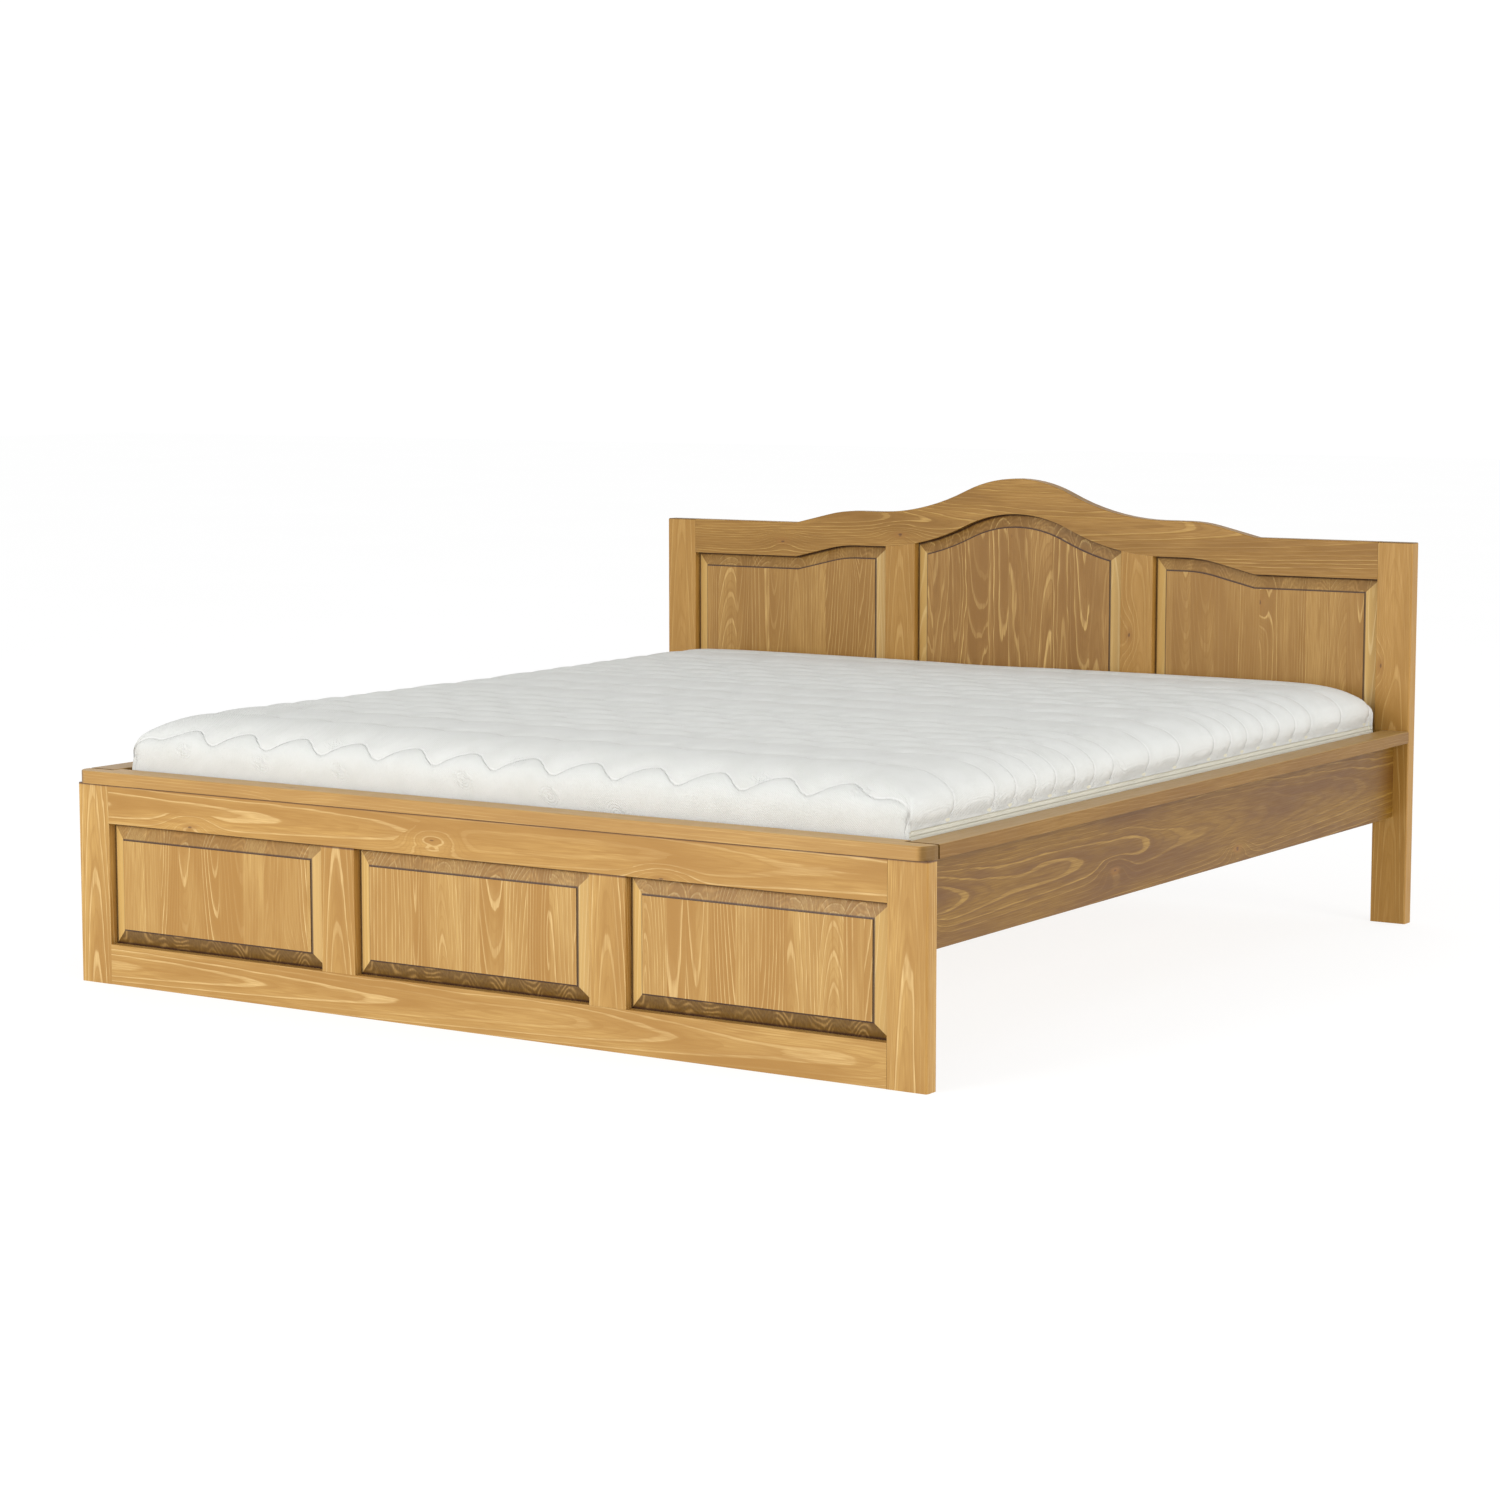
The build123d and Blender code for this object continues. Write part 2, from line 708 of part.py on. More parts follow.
with BuildPart() as bracket_screws:
    add(screws_at(bracket_screw_places, bracket_screw_length))
write(bracket_screws, "bracket_screws")

# Centre leg, with the stud that holds it to the beam, and its screw foot in a threaded insert
with BuildPart() as centre_leg:
    with BuildSketch(Plane.XY.offset(leg_bottom)):
        with Locations((0, rail_middle)):
            Rectangle(leg_width, leg_width)
    extrude(amount=beam_bottom - leg_bottom)
    fillet(centre_leg.edges().filter_by(Axis.Z), slat_ease)
    add(stud_hole.part, mode=Mode.SUBTRACT)
    with BuildSketch(Plane.XY.offset(leg_bottom)):
        with Locations((0, rail_middle)):
            Circle(foot_stem_radius + 1.0)
    extrude(amount=foot_stem_length + 2 * dowel_end_room, mode=Mode.SUBTRACT)
    with BuildSketch(Plane.XY.offset(leg_bottom)):
        with Locations((0, rail_middle)):
            Circle(insert_radius)
    extrude(amount=insert_length, mode=Mode.SUBTRACT)
write(centre_leg, "centre_leg")

with BuildPart() as leg_stud:
    with Locations((0, rail_middle, beam_bottom)):
        Cylinder(stud_radius, stud_length)
write(leg_stud, "leg_stud")

with BuildPart() as leg_insert:
    with BuildSketch(Plane.XY.offset(leg_bottom)):
        with Locations((0, rail_middle)):
            Circle(insert_radius)
            Circle(foot_stem_radius + fitting_play, mode=Mode.SUBTRACT)
    extrude(amount=insert_length)
write(leg_insert, "leg_insert")

with BuildPart() as screw_foot:
    with BuildSketch(Plane.XY):
        with Locations((0, rail_middle)):
            Circle(foot_pad_radius)
    extrude(amount=foot_pad_height)
    fillet(screw_foot.edges().group_by(Axis.Z)[-1], slat_ease)
    with BuildSketch(Plane.XY.offset(foot_pad_height)):
        with Locations((0, rail_middle)):
            Circle(foot_stem_radius)
    extrude(amount=foot_stem_length)
write(screw_foot, "screw_foot")

# Mattress: a foam core inside a quilted cover, laid on the slats
mattress_width = 2 * (rail_inner - mattress_side_gap)
mattress_length = head_front - foot_cap_back - 2 * mattress_end_gap
mattress_middle = (head_front + foot_cap_back) / 2


def mattress_block(inset):
    """Return the mattress's outer block, drawn in by this much on every side."""
    with BuildPart() as block:
        with BuildSketch(Plane.XY.offset(mattress_bottom + inset)):
            with Locations((0, mattress_middle)):
                RectangleRounded(
                    mattress_width - 2 * inset, mattress_length - 2 * inset, mattress_corner - inset
                )
        extrude(amount=mattress_thickness - 2 * inset)
        rims = block.edges().group_by(Axis.Z)
        fillet(rims[0] + rims[-1], mattress_edge - inset)
    return block.part


with BuildPart() as mattress_core:
    add(mattress_block(cover_wall + core_play))
write(mattress_core, "mattress_core")

with BuildPart() as mattress_cover:
    add(mattress_block(0.0))
    add(mattress_block(cover_wall), mode=Mode.SUBTRACT)
write(mattress_cover, "mattress_cover")
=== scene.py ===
"""Looks of a waxed pine double bed with its quilted mattress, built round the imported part.

Everything is in metres. The origin is on the floor at the middle of the bed, +X is to the right seen from
the foot, +Y runs from the foot to the head and +Z is up.
"""

import logging
import math
from dataclasses import dataclass, field
from enum import Enum

import bmesh
import bpy
import numpy as np
from bpy.types import Material, Node, NodeSocket, Object
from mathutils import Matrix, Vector


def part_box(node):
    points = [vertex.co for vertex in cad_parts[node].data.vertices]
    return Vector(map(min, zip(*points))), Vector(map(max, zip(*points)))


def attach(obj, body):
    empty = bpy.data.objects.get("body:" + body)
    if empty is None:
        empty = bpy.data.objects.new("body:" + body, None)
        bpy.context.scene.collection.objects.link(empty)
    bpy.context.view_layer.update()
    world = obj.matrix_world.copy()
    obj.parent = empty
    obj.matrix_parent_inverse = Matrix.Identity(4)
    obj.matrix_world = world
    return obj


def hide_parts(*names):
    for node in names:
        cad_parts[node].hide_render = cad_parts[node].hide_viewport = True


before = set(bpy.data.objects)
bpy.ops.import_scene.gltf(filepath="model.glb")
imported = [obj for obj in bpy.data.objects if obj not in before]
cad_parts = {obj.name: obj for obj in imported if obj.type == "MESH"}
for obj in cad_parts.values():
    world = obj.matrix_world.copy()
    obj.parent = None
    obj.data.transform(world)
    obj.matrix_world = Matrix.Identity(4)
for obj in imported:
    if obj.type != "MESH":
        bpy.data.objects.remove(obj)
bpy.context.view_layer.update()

log = logging.getLogger("pine_bed")

Colour = Place = tuple[float, float, float]
Value = float | NodeSocket
Box = tuple[Vector, Vector]

# A face that looks at the foot's softbox shows this many times its paint's own colour
STUDIO_LIGHT = 1.2
# Waxed wood adds this much gloss to its colour, and no wax is darker than this
GLOSS = 0.020
DARKEST = 0.006

# Seeds are scattered over a long stretch of grain, so that no two boards show the same part of the log
SCATTER = 12.9898
STRETCH = 43.7
STAVE_STRETCH = 37.0
# One growth ring, from its early wood to its bright late line, and the dark edge that follows the line
RING_STOPS = ((0.0, 0.0), (0.50, 0.05), (0.64, 0.30), (0.74, 1.0), (0.84, 1.0), (0.89, 0.10), (1.0, 0.0))
EDGE_STOPS = ((0.0, 0.9), (0.14, 0.1), (0.84, 0.0), (0.90, 1.0), (1.0, 0.9))
# How often fibres, clouds of tone and dark flecks change in a metre across, through and along a board
FIBRES = (420.0, 420.0, 14.0)
CLOUDS = (14.0, 6.0, 2.4)
FLECKS = (150.0, 150.0, 9.0)

# How near a cut counts as on a point, and how near the top counts as on it
CUT_TOLERANCE = 1e-6
TOP_TOLERANCE = 1e-4

# A taut knit, stiff in its plane and soft to bend, blown up from inside
CLOTH = {
    "quality": 4,
    "mass": 0.4,
    "tension_stiffness": 25.0,
    "compression_stiffness": 25.0,
    "shear_stiffness": 12.0,
    "bending_stiffness": 4.0,
    "use_pressure": True,
    "uniform_pressure_force": 4.0,
}


class Grain(Enum):
    """The way a board's grain runs, as the axes that lie across it, through its depth and along it."""

    UPRIGHT = (0, 1, 2)
    CROSS = (2, 1, 0)
    CROSS_FLAT = (1, 2, 0)
    ALONG = (2, 0, 1)
    ALONG_FLAT = (0, 2, 1)


def paint(red: int, green: int, blue: int) -> Colour:
    """Turn the colour that a face shows in the studio into the linear colour that its shader needs.

    Args:
        red: Display red from 0 to 255.
        green: Display green from 0 to 255.
        blue: Display blue from 0 to 255.

    Returns:
        The linear red, green and blue.
    """
    shares = [value / 255 for value in (red, green, blue)]
    linear = [s / 12.92 if s <= 0.04045 else ((s + 0.055) / 1.055) ** 2.4 for s in shares]
    return tuple(part / STUDIO_LIGHT for part in linear)


def waxed(red: int, green: int, blue: int) -> Colour:
    """Turn the colour that a waxed face shows into the linear colour under its gloss, as paint does."""
    return tuple(max(part - GLOSS, DARKEST) for part in paint(red, green, blue))


class Shade:
    """Adds and joins the nodes of one material."""

    def __init__(self, name: str) -> None:
        """Start a material with one principled shader.

        Args:
            name: The material's name.
        """
        self.material = bpy.data.materials.new(name)
        self.material.use_nodes = True
        self.tree = self.material.node_tree
        self.shader = self.tree.nodes["Principled BSDF"]
        coordinates = self.tree.nodes.new("ShaderNodeTexCoord")
        self.place = coordinates.outputs["Object"]
        self.normal = coordinates.outputs["Normal"]

    def feed(self, socket: NodeSocket, value: Value | Colour | Vector) -> None:
        """Join a socket to another, or set its constant.

        Args:
            socket: The input.
            value: An output socket, a number, a colour or a vector.
        """
        if isinstance(value, NodeSocket):
            self.tree.links.new(value, socket)
        elif isinstance(value, tuple) and socket.type == "RGBA":
            socket.default_value = (*value, 1.0)
        else:
            socket.default_value = value

    def set(self, **values: Value | Colour) -> None:
        """Feed the shader's own inputs, each by its name with _ for a space."""
        for name, value in values.items():
            self.feed(self.shader.inputs[name.replace("_", " ")], value)

    def maths(self, operation: str, *values: Value) -> NodeSocket:
        """Add one step of arithmetic.

        Args:
            operation: The Math node's operation.
            values: Its inputs in order.

        Returns:
            The result.
        """
        step = self.tree.nodes.new("ShaderNodeMath")
        step.operation = operation
        for socket, value in zip(step.inputs, values):
            self.feed(socket, value)
        return step.outputs[0]

    def plus(self, first: Value, second: Value) -> NodeSocket:
        """Return the sum of two values."""
        return self.maths("ADD", first, second)

    def minus(self, first: Value, second: Value) -> NodeSocket:
        """Return the first value less the second."""
        return self.maths("SUBTRACT", first, second)

    def times(self, first: Value, second: Value) -> NodeSocket:
        """Return the product of two values."""
        return self.maths("MULTIPLY", first, second)

    def times_plus(self, value: Value, factor: Value, rest: Value) -> NodeSocket:
        """Return a value times a factor, plus the rest."""
        return self.maths("MULTIPLY_ADD", value, factor, rest)

    def wave(self, value: Value, turn: float) -> NodeSocket:
        """Return the sine of a value times the turn it makes in a metre."""
        return self.maths("SINE", self.times(value, turn))

    def placed(self, centre: Vector) -> NodeSocket:
        """Return object coordinates measured from a piece's middle."""
        mapping = self.tree.nodes.new("ShaderNodeMapping")
        mapping.inputs["Location"].default_value = -centre
        self.feed(mapping.inputs["Vector"], self.place)
        return mapping.outputs[0]

    def split(self, vector: NodeSocket) -> list[NodeSocket]:
        """Return a vector's three parts."""
        parts = self.tree.nodes.new("ShaderNodeSeparateXYZ")
        self.feed(parts.inputs[0], vector)
        return list(parts.outputs)

    def join(self, x: Value, y: Value, z: Value) -> NodeSocket:
        """Return a vector made of three parts."""
        whole = self.tree.nodes.new("ShaderNodeCombineXYZ")
        for socket, value in zip(whole.inputs, (x, y, z)):
            self.feed(socket, value)
        return whole.outputs[0]

    def squeezed(self, parts: tuple[Value, ...], factors: tuple[float, ...]) -> NodeSocket:
        """Return a vector of three parts, each times its own factor."""
        return self.join(*(self.times(part, factor) for part, factor in zip(parts, factors)))

    def noise(self, vector: NodeSocket, scale: float, detail: float = 2.0, rough: float = 0.5) -> NodeSocket:
        """Add smooth noise from 0 to 1.

        Args:
            vector: Where to read it.
            scale: Its scale.
            detail: Its octaves.
            rough: How strong the finer octaves are.

        Returns:
            The noise.
        """
        node = self.tree.nodes.new("ShaderNodeTexNoise")
        self.feed(node.inputs["Vector"], vector)
        node.inputs["Scale"].default_value = scale
        node.inputs["Detail"].default_value = detail
        node.inputs["Roughness"].default_value = rough
        return node.outputs["Fac"]

    def attribute(self, name: str) -> NodeSocket:
        """Return the value of one of the piece's own attributes."""
        node = self.tree.nodes.new("ShaderNodeAttribute")
        node.attribute_name = name
        return node.outputs["Fac"]

    def cells(self, kind: str, scale: float, where: NodeSocket) -> Node:
        """Add a Voronoi node.

        Args:
            kind: Its dimensions, such as 1D or 2D.
            scale: Its scale.
            where: Its vector, or its W in one dimension.

        Returns:
            The node.
        """
        node = self.tree.nodes.new("ShaderNodeTexVoronoi")
        node.voronoi_dimensions = kind
        node.inputs["Scale"].default_value = scale
        self.feed(node.inputs["W" if kind == "1D" else "Vector"], where)
        return node

    def ease(
        self, value: NodeSocket, low: float, high: float, start: float = 0.0, end: float = 1.0
    ) -> NodeSocket:
        """Map a value smoothly from one range to another.

        Args:
            value: The value.
            low: Where the change starts.
            high: Where it ends.
            start: The result at low and below.
            end: The result at high and above.

        Returns:
            The mapped value.
        """
        node = self.tree.nodes.new("ShaderNodeMapRange")
        node.interpolation_type = "SMOOTHSTEP"
        for socket, number in zip(node.inputs, (value, low, high, start, end)):
            self.feed(socket, number)
        return node.outputs[0]

    def bell(self, distance: Value, width: float) -> NodeSocket:
        """Return a bell curve of a distance, 1 at nothing and near 0 past twice its width."""
        share = self.maths("DIVIDE", distance, width)
        return self.maths("EXPONENT", self.times(self.times(share, share), -1.0))

    def mix(self, share: Value, first: Value | Colour, second: Value | Colour) -> NodeSocket:
        """Mix two colours.

        Args:
            share: How much of the second.
            first: The first colour.
            second: The second colour.

        Returns:
            The mixed colour.
        """
        node = self.tree.nodes.new("ShaderNodeMix")
        node.data_type = "RGBA"
        sockets = [s for s in node.inputs if s.enabled]
        for socket, value in zip(sockets, (share, first, second)):
            self.feed(socket, value)
        return next(s for s in node.outputs if s.enabled)

    def layered(self, colour: Value | Colour, *coats: tuple[Value, Value | Colour]) -> NodeSocket:
        """Lay coats of colour over one another.

        Args:
            colour: The ground.
            coats: Pairs of a share, and the colour laid on by that share.

        Returns:
            The colour that shows.
        """
        for share, coat in coats:
            colour = self.mix(share, colour, coat)
        return colour

    def curve(self, value: NodeSocket, stops: tuple[tuple[float, float], ...]) -> NodeSocket:
        """Map a value through a line of stops.

        Args:
            value: The value, from 0 to 1.
            stops: Pairs of a place and the result there.

        Returns:
            The mapped value.
        """
        node = self.tree.nodes.new("ShaderNodeValToRGB")
        node.color_ramp.interpolation = "EASE"
        while len(node.color_ramp.elements) < len(stops):
            node.color_ramp.elements.new(0.5)
        for element, (place, result) in zip(node.color_ramp.elements, stops):
            element.position = place
            element.color = (result, result, result, 1.0)
        self.feed(node.inputs[0], value)
        return node.outputs[0]

    def raise_by(self, height: NodeSocket, distance: float) -> None:
        """Give the shader a bump.

        Args:
            height: The height, about 0 to 1.
            distance: How high 1 stands, in metres.
        """
        node = self.tree.nodes.new("ShaderNodeBump")
        node.inputs["Strength"].default_value = 1.0
        node.inputs["Distance"].default_value = distance
        self.feed(node.inputs["Height"], height)
        self.feed(self.shader.inputs["Normal"], node.outputs[0])


@dataclass(frozen=True)
class PineFinish:
    """Brushed pine: growth rings about a pith that lies behind the board, with knots that bend them.

    A capped board gets a painted shadow line just under its cap, and a level top can get a painted pale sheen.
    """

    ground: Colour = waxed(200, 159, 92)
    line: Colour = waxed(236, 202, 140)
    shade: Colour = waxed(174, 130, 70)
    end: Colour = waxed(116, 88, 50)
    knot: Colour = waxed(158, 112, 58)
    # Dark heart of a knot, also laid as the painted shadow just under a cap
    knot_heart_and_cap_shade: Colour = waxed(76, 50, 26)
    ring_spacing: float = 0.0058
    pith_depth: float = 0.060
    pith_across: float = 0.0
    tilt: float = 0.030
    wander: float = 0.012
    contrast: float = 0.80
    knots: float = 0.25
    brushed: float = 0.00035
    roughness: float = 0.44
    knot_push: float = 3.2
    stave: float = 0.0
    stave_jitter: float = 0.55
    stave_tilt: float = 7.0
    cap_shadow: tuple[float, float] = (0.0045, 0.0015)
    capped: bool = False
    # Share of a painted pale sheen laid on level tops, standing in for the gloss they catch
    painted_top_sheen: float = 0.0

    def material(self, name: str, grain: Grain, box: Box, seed: float) -> Material:
        """Make the finish for one board.

        Args:
            name: The material's name.
            grain: The way the grain runs.
            box: The board's lowest and highest corners.
            seed: A number of its own, so that no two boards match.

        Returns:
            The material.
        """
        s = Shade(name)
        parts = s.split(s.placed((box[0] + box[1]) / 2))
        across, deep, along = (parts[axis] for axis in grain.value)
        apart = math.sin(seed * SCATTER) * STRETCH
        pith_across, pith_depth, tilt = self.pith_across, self.pith_depth, self.tilt
        within, lane, tone_shift = across, 0.0, 0.0
        if self.stave:
            stave = s.cells("1D", 1.0 / self.stave, s.plus(across, apart))
            stave.inputs["Randomness"].default_value = self.stave_jitter
            lot = s.split(stave.outputs["Color"])
            within = s.minus(s.plus(across, apart), stave.outputs["W"])
            tone_shift = s.minus(lot[0], 0.5)
            pith_across = s.times(s.minus(lot[1], 0.5), 1.9 * self.stave)
            pith_depth = s.times_plus(lot[2], 1.6 * self.pith_depth, 0.25 * self.pith_depth)
            tilt = s.times(s.minus(lot[0], 0.45), self.stave_tilt * self.tilt)
            lane = s.times(lot[1], STAVE_STRETCH)
        far = s.plus(s.plus(along, apart), lane)

        slow = s.noise(s.join(s.times(across, 1.6), deep, far), 1.7, 1.0)
        quick = s.noise(s.join(s.times(across, 9.0), s.times(deep, 9.0), far), 7.0, 2.0)
        bend = s.times(s.minus(slow, 0.5), 2.0 * self.wander)
        bend = s.times_plus(s.minus(quick, 0.5), 0.45 * self.wander, bend)
        side = s.plus(s.minus(within, pith_across), bend)
        back = s.plus(s.plus(deep, pith_depth), s.times(along, tilt))
        back = s.times_plus(s.minus(slow, 0.5), 1.2 * self.wander, back)
        radius = s.maths("SQRT", s.plus(s.times(side, side), s.times(back, back)))

        near, core, heart = self.knots_at(s, across, far, quick, seed)
        phase = s.plus(s.maths("DIVIDE", radius, self.ring_spacing), s.times(near, self.knot_push))
        phase = s.times_plus(quick, 0.35, phase)
        ring = s.maths("FRACT", phase)
        strong = s.noise(s.join(s.times(phase, 0.42), apart, 0.0), 1.0, 1.0)
        strong = s.times(s.ease(strong, 0.36, 0.64, 0.16, 1.0), self.contrast)
        line = s.times(s.curve(ring, RING_STOPS), strong)
        edge = s.times(s.curve(ring, EDGE_STOPS), strong)
        late = s.ease(s.maths("FRACT", s.times(phase, 3.0)), 0.55, 0.98)

        spot = (across, deep, far)
        fibre = s.noise(s.squeezed(spot, FIBRES), 1.0, 3.0, 0.6)
        cloud = s.noise(s.squeezed(spot, CLOUDS), 1.0, 3.0, 0.55)
        fleck = s.noise(s.squeezed(spot, FLECKS), 1.0, 2.0)
        tone = s.plus(s.ease(cloud, 0.30, 0.72), s.times(tone_shift, 0.9))
        colour = s.layered(
            s.mix(s.minus(1.0, tone), self.ground, self.shade),
            (line, self.line),
            (s.times(edge, 0.55), self.shade),
            (s.times(late, 0.42), self.shade),
            (s.ease(fibre, 0.35, 0.70, 0.50, 0.0), self.shade),
            (s.ease(fleck, 0.30, 0.46, 0.55, 0.0), self.shade),
            (s.times(core, 0.50), self.knot),
            (s.times(heart, 0.6), self.knot_heart_and_cap_shade),
        )
        s.set(Base_Color=self.faces(s, grain, box, colour, line, fibre))
        rough = s.ease(fibre, 0.2, 0.8, self.roughness + 0.10, self.roughness - 0.06)
        s.set(Roughness=rough)
        s.set(Specular_IOR_Level=0.38)
        s.raise_by(s.times_plus(fibre, 0.45, s.times(line, 0.75)), self.brushed)
        return s.material

    def knots_at(
        self, s: Shade, across: NodeSocket, far: NodeSocket, quick: NodeSocket, seed: float
    ) -> tuple[NodeSocket, ...]:
        """Scatter knots over a board.

        Args:
            s: The material being made.
            across: The place across the board.
            far: The place along the log.
            quick: The finer of the two noises that bend the rings.
            seed: The board's own number.

        Returns:
            How near a knot is, and where its core and its dark heart show.
        """
        jog = s.times(s.minus(quick, 0.5), 0.10)
        where = s.join(s.times_plus(across, 5.0, jog), s.times_plus(far, 2.1, seed), 0.0)
        cell = s.cells("2D", 1.0, where)
        share = s.split(cell.outputs["Color"])[0]
        here = s.ease(share, 1.0 - self.knots, 1.0 - self.knots + 0.02)
        away = cell.outputs["Distance"]
        core = s.ease(away, 0.018, 0.060, 1.0, 0.0)
        heart = s.ease(away, 0.006, 0.014, 1.0, 0.0)
        return tuple(s.times(here, shape) for shape in (s.bell(away, 0.12), core, heart))

    def faces(
        self,
        s: Shade,
        grain: Grain,
        box: Box,
        colour: NodeSocket,
        line: NodeSocket,
        fibre: NodeSocket,
    ) -> NodeSocket:
        """Darken the end grain, paint a shadow line under a cap, and paint a pale sheen on the level top.

        Args:
            s: The material being made.
            grain: The way the grain runs.
            box: The board's lowest and highest corners.
            colour: The colour so far.
            line: The growth lines.
            fibre: The fine fibre noise.

        Returns:
            The colour on every face.
        """
        facing = s.split(s.normal)
        cut = s.mix(s.times(line, 0.35), self.end, self.ground)
        # Painted sheen: level tops are painted paler
        if self.painted_top_sheen:
            colour = s.mix(s.ease(facing[2], 0.5, 0.9, 0.0, self.painted_top_sheen), colour, self.line)
        endways = s.maths("ABSOLUTE", facing[grain.value[2]])
        colour = s.mix(s.ease(endways, 0.20, 0.60, 0.0, 0.85), colour, cut)
        if not self.capped:
            return colour
        # Painted shadow: the top few millimetres of a capped board darken, as under the cap's overhang
        low, high = (box[1].z - depth for depth in self.cap_shadow)
        return s.mix(s.ease(s.split(s.place)[2], low, high, 0.0, 0.8), colour, self.knot_heart_and_cap_shade)


@dataclass(frozen=True)
class PanelFinish(PineFinish):
    """Glued upright staves with dark end grain on the level bevels, painted light on the up-facing bevels, and
    a painted shadow line round the field and along the frame.
    """

    stave: float = 0.052
    ring_spacing: float = 0.0062
    pith_depth: float = 0.034
    knots: float = 0.10
    bevel_side: Colour = waxed(222, 184, 116)
    end_line: Colour = waxed(184, 146, 88)
    stripe: Colour = waxed(246, 218, 158)
    # Dark colour for end-grain fibres, also laid as painted shade in the recesses
    dark_grain_and_recess_shade: Colour = waxed(66, 44, 24)
    step: float = 0.002
    depth: float = 0.0125
    arc_warp: float = 11.0
    arcs_per_metre: float = 230.0

    def faces(
        self,
        s: Shade,
        grain: Grain,
        box: Box,
        colour: NodeSocket,
        line: NodeSocket,
        fibre: NodeSocket,
    ) -> NodeSocket:
        """Dress the bevels, paint the up-facing ones lighter, and paint shade in the recesses round the field
        and along the frame.
        """
        facing = s.split(s.normal)
        nx, ny, nz = (s.maths("ABSOLUTE", part) for part in facing)
        x, y, z = s.split(s.placed((box[0] + box[1]) / 2))
        sunk = s.minus(s.split(s.place)[1], box[0].y)
        warp = s.noise(s.join(x, 0.0, s.times(z, 0.4)), 20.0, 1.0)
        arcs = s.plus(s.times(warp, self.arc_warp), s.times(y, self.arcs_per_metre))
        arcs = s.times_plus(s.wave(arcs, 2 * math.pi), 0.5, 0.5)
        plain = s.ease(s.noise(s.join(x, 0.0, 0.0), 26.0, 0.0), 0.44, 0.58, 0.10, 0.85)
        cut = s.layered(
            self.end,
            (s.times(s.maths("POWER", arcs, 2.0), plain), self.end_line),
            (s.ease(fibre, 0.3, 0.7, 0.35, 0.0), self.dark_grain_and_recess_shade),
        )
        # Painted shade: dark lines at the field's step and where the bevels meet the frame
        inner = s.ease(sunk, self.step + 0.0006, self.step + 0.0015, 0.85, 0.0)
        outer = s.ease(sunk, self.depth - 0.0022, self.depth - 0.0008, 0.0, 0.80)
        recess_shade = s.times(s.ease(ny, 0.97, 0.985, 1.0, 0.0), s.maths("MAXIMUM", inner, outer))
        return s.layered(
            colour,
            (s.ease(nx, 0.16, 0.28, 0.0, 0.75), s.mix(s.times(line, 0.9), self.bevel_side, self.stripe)),
            # Painted light: up-facing level bevels are painted lighter, with less of the end grain's colour
            (s.ease(nz, 0.14, 0.26), s.mix(s.ease(facing[2], 0.1, 0.3, 0.10, 0.65), cut, colour)),
            (recess_shade, self.dark_grain_and_recess_shade),
        )


@dataclass(frozen=True)
class Finish:
    """A finish that is the same on every piece."""

    def material(self, name: str) -> Material:
        """Make the material.

        Args:
            name: The material's name.

        Returns:
            The material.
        """
        s = Shade(name)
        self.shade(s)
        return s.material

    def shade(self, s: Shade) -> None:
        """Fill in a material's shader."""
        raise NotImplementedError


@dataclass(frozen=True)
class MetalFinish(Finish):
    """Plated or turned metal with fine scratches."""

    base: Colour
    dull: Colour
    roughness: float = 0.36
    grit: float = 1400.0
    grit_height: float = 0.00006

    def shade(self, s: Shade) -> None:
        """Fill in a material's shader."""
        stain = s.noise(s.place, 90.0, 4.0, 0.6)
        s.set(Base_Color=s.mix(s.ease(stain, 0.35, 0.7), self.base, self.dull))
        s.set(Roughness=s.ease(stain, 0.3, 0.7, self.roughness, self.roughness + 0.14))
        s.set(Metallic=1.0)
        s.raise_by(s.noise(s.place, self.grit, 2.0), self.grit_height)


@dataclass(frozen=True)
class GrainyFinish(Finish):
    """Moulded plastic, foam or beech: a base colour with specks of a second, and a fine bump."""

    base: Colour
    speck: Colour
    scale: float = 600.0
    roughness: float = 0.6
    height: float = 0.0002

    def shade(self, s: Shade) -> None:
        """Fill in a material's shader."""
        speck = s.noise(s.place, self.scale, 3.0, 0.6)
        s.set(Base_Color=s.mix(s.ease(speck, 0.4, 0.7), self.base, self.speck))
        rough = s.ease(speck, 0.3, 0.7, self.roughness - 0.05, self.roughness + 0.1)
        s.set(Roughness=rough)
        s.raise_by(speck, self.height)


@dataclass(frozen=True)
class WebbingFinish(Finish):
    """Woven webbing: ribs across a band that runs along Y."""

    base: Colour = paint(226, 222, 208)
    gap: Colour = paint(150, 144, 126)
    rib: float = 0.0022
    height: float = 0.0004

    def shade(self, s: Shade) -> None:
        """Fill in a material's shader."""
        x, y, _ = s.split(s.place)
        turn = 2 * math.pi / self.rib
        weave = s.times_plus(s.times(s.wave(x, turn), s.wave(y, turn)), 0.5, 0.5)
        s.set(Base_Color=s.mix(weave, self.gap, self.base))
        s.set(Roughness=0.85)
        s.raise_by(weave, self.height)


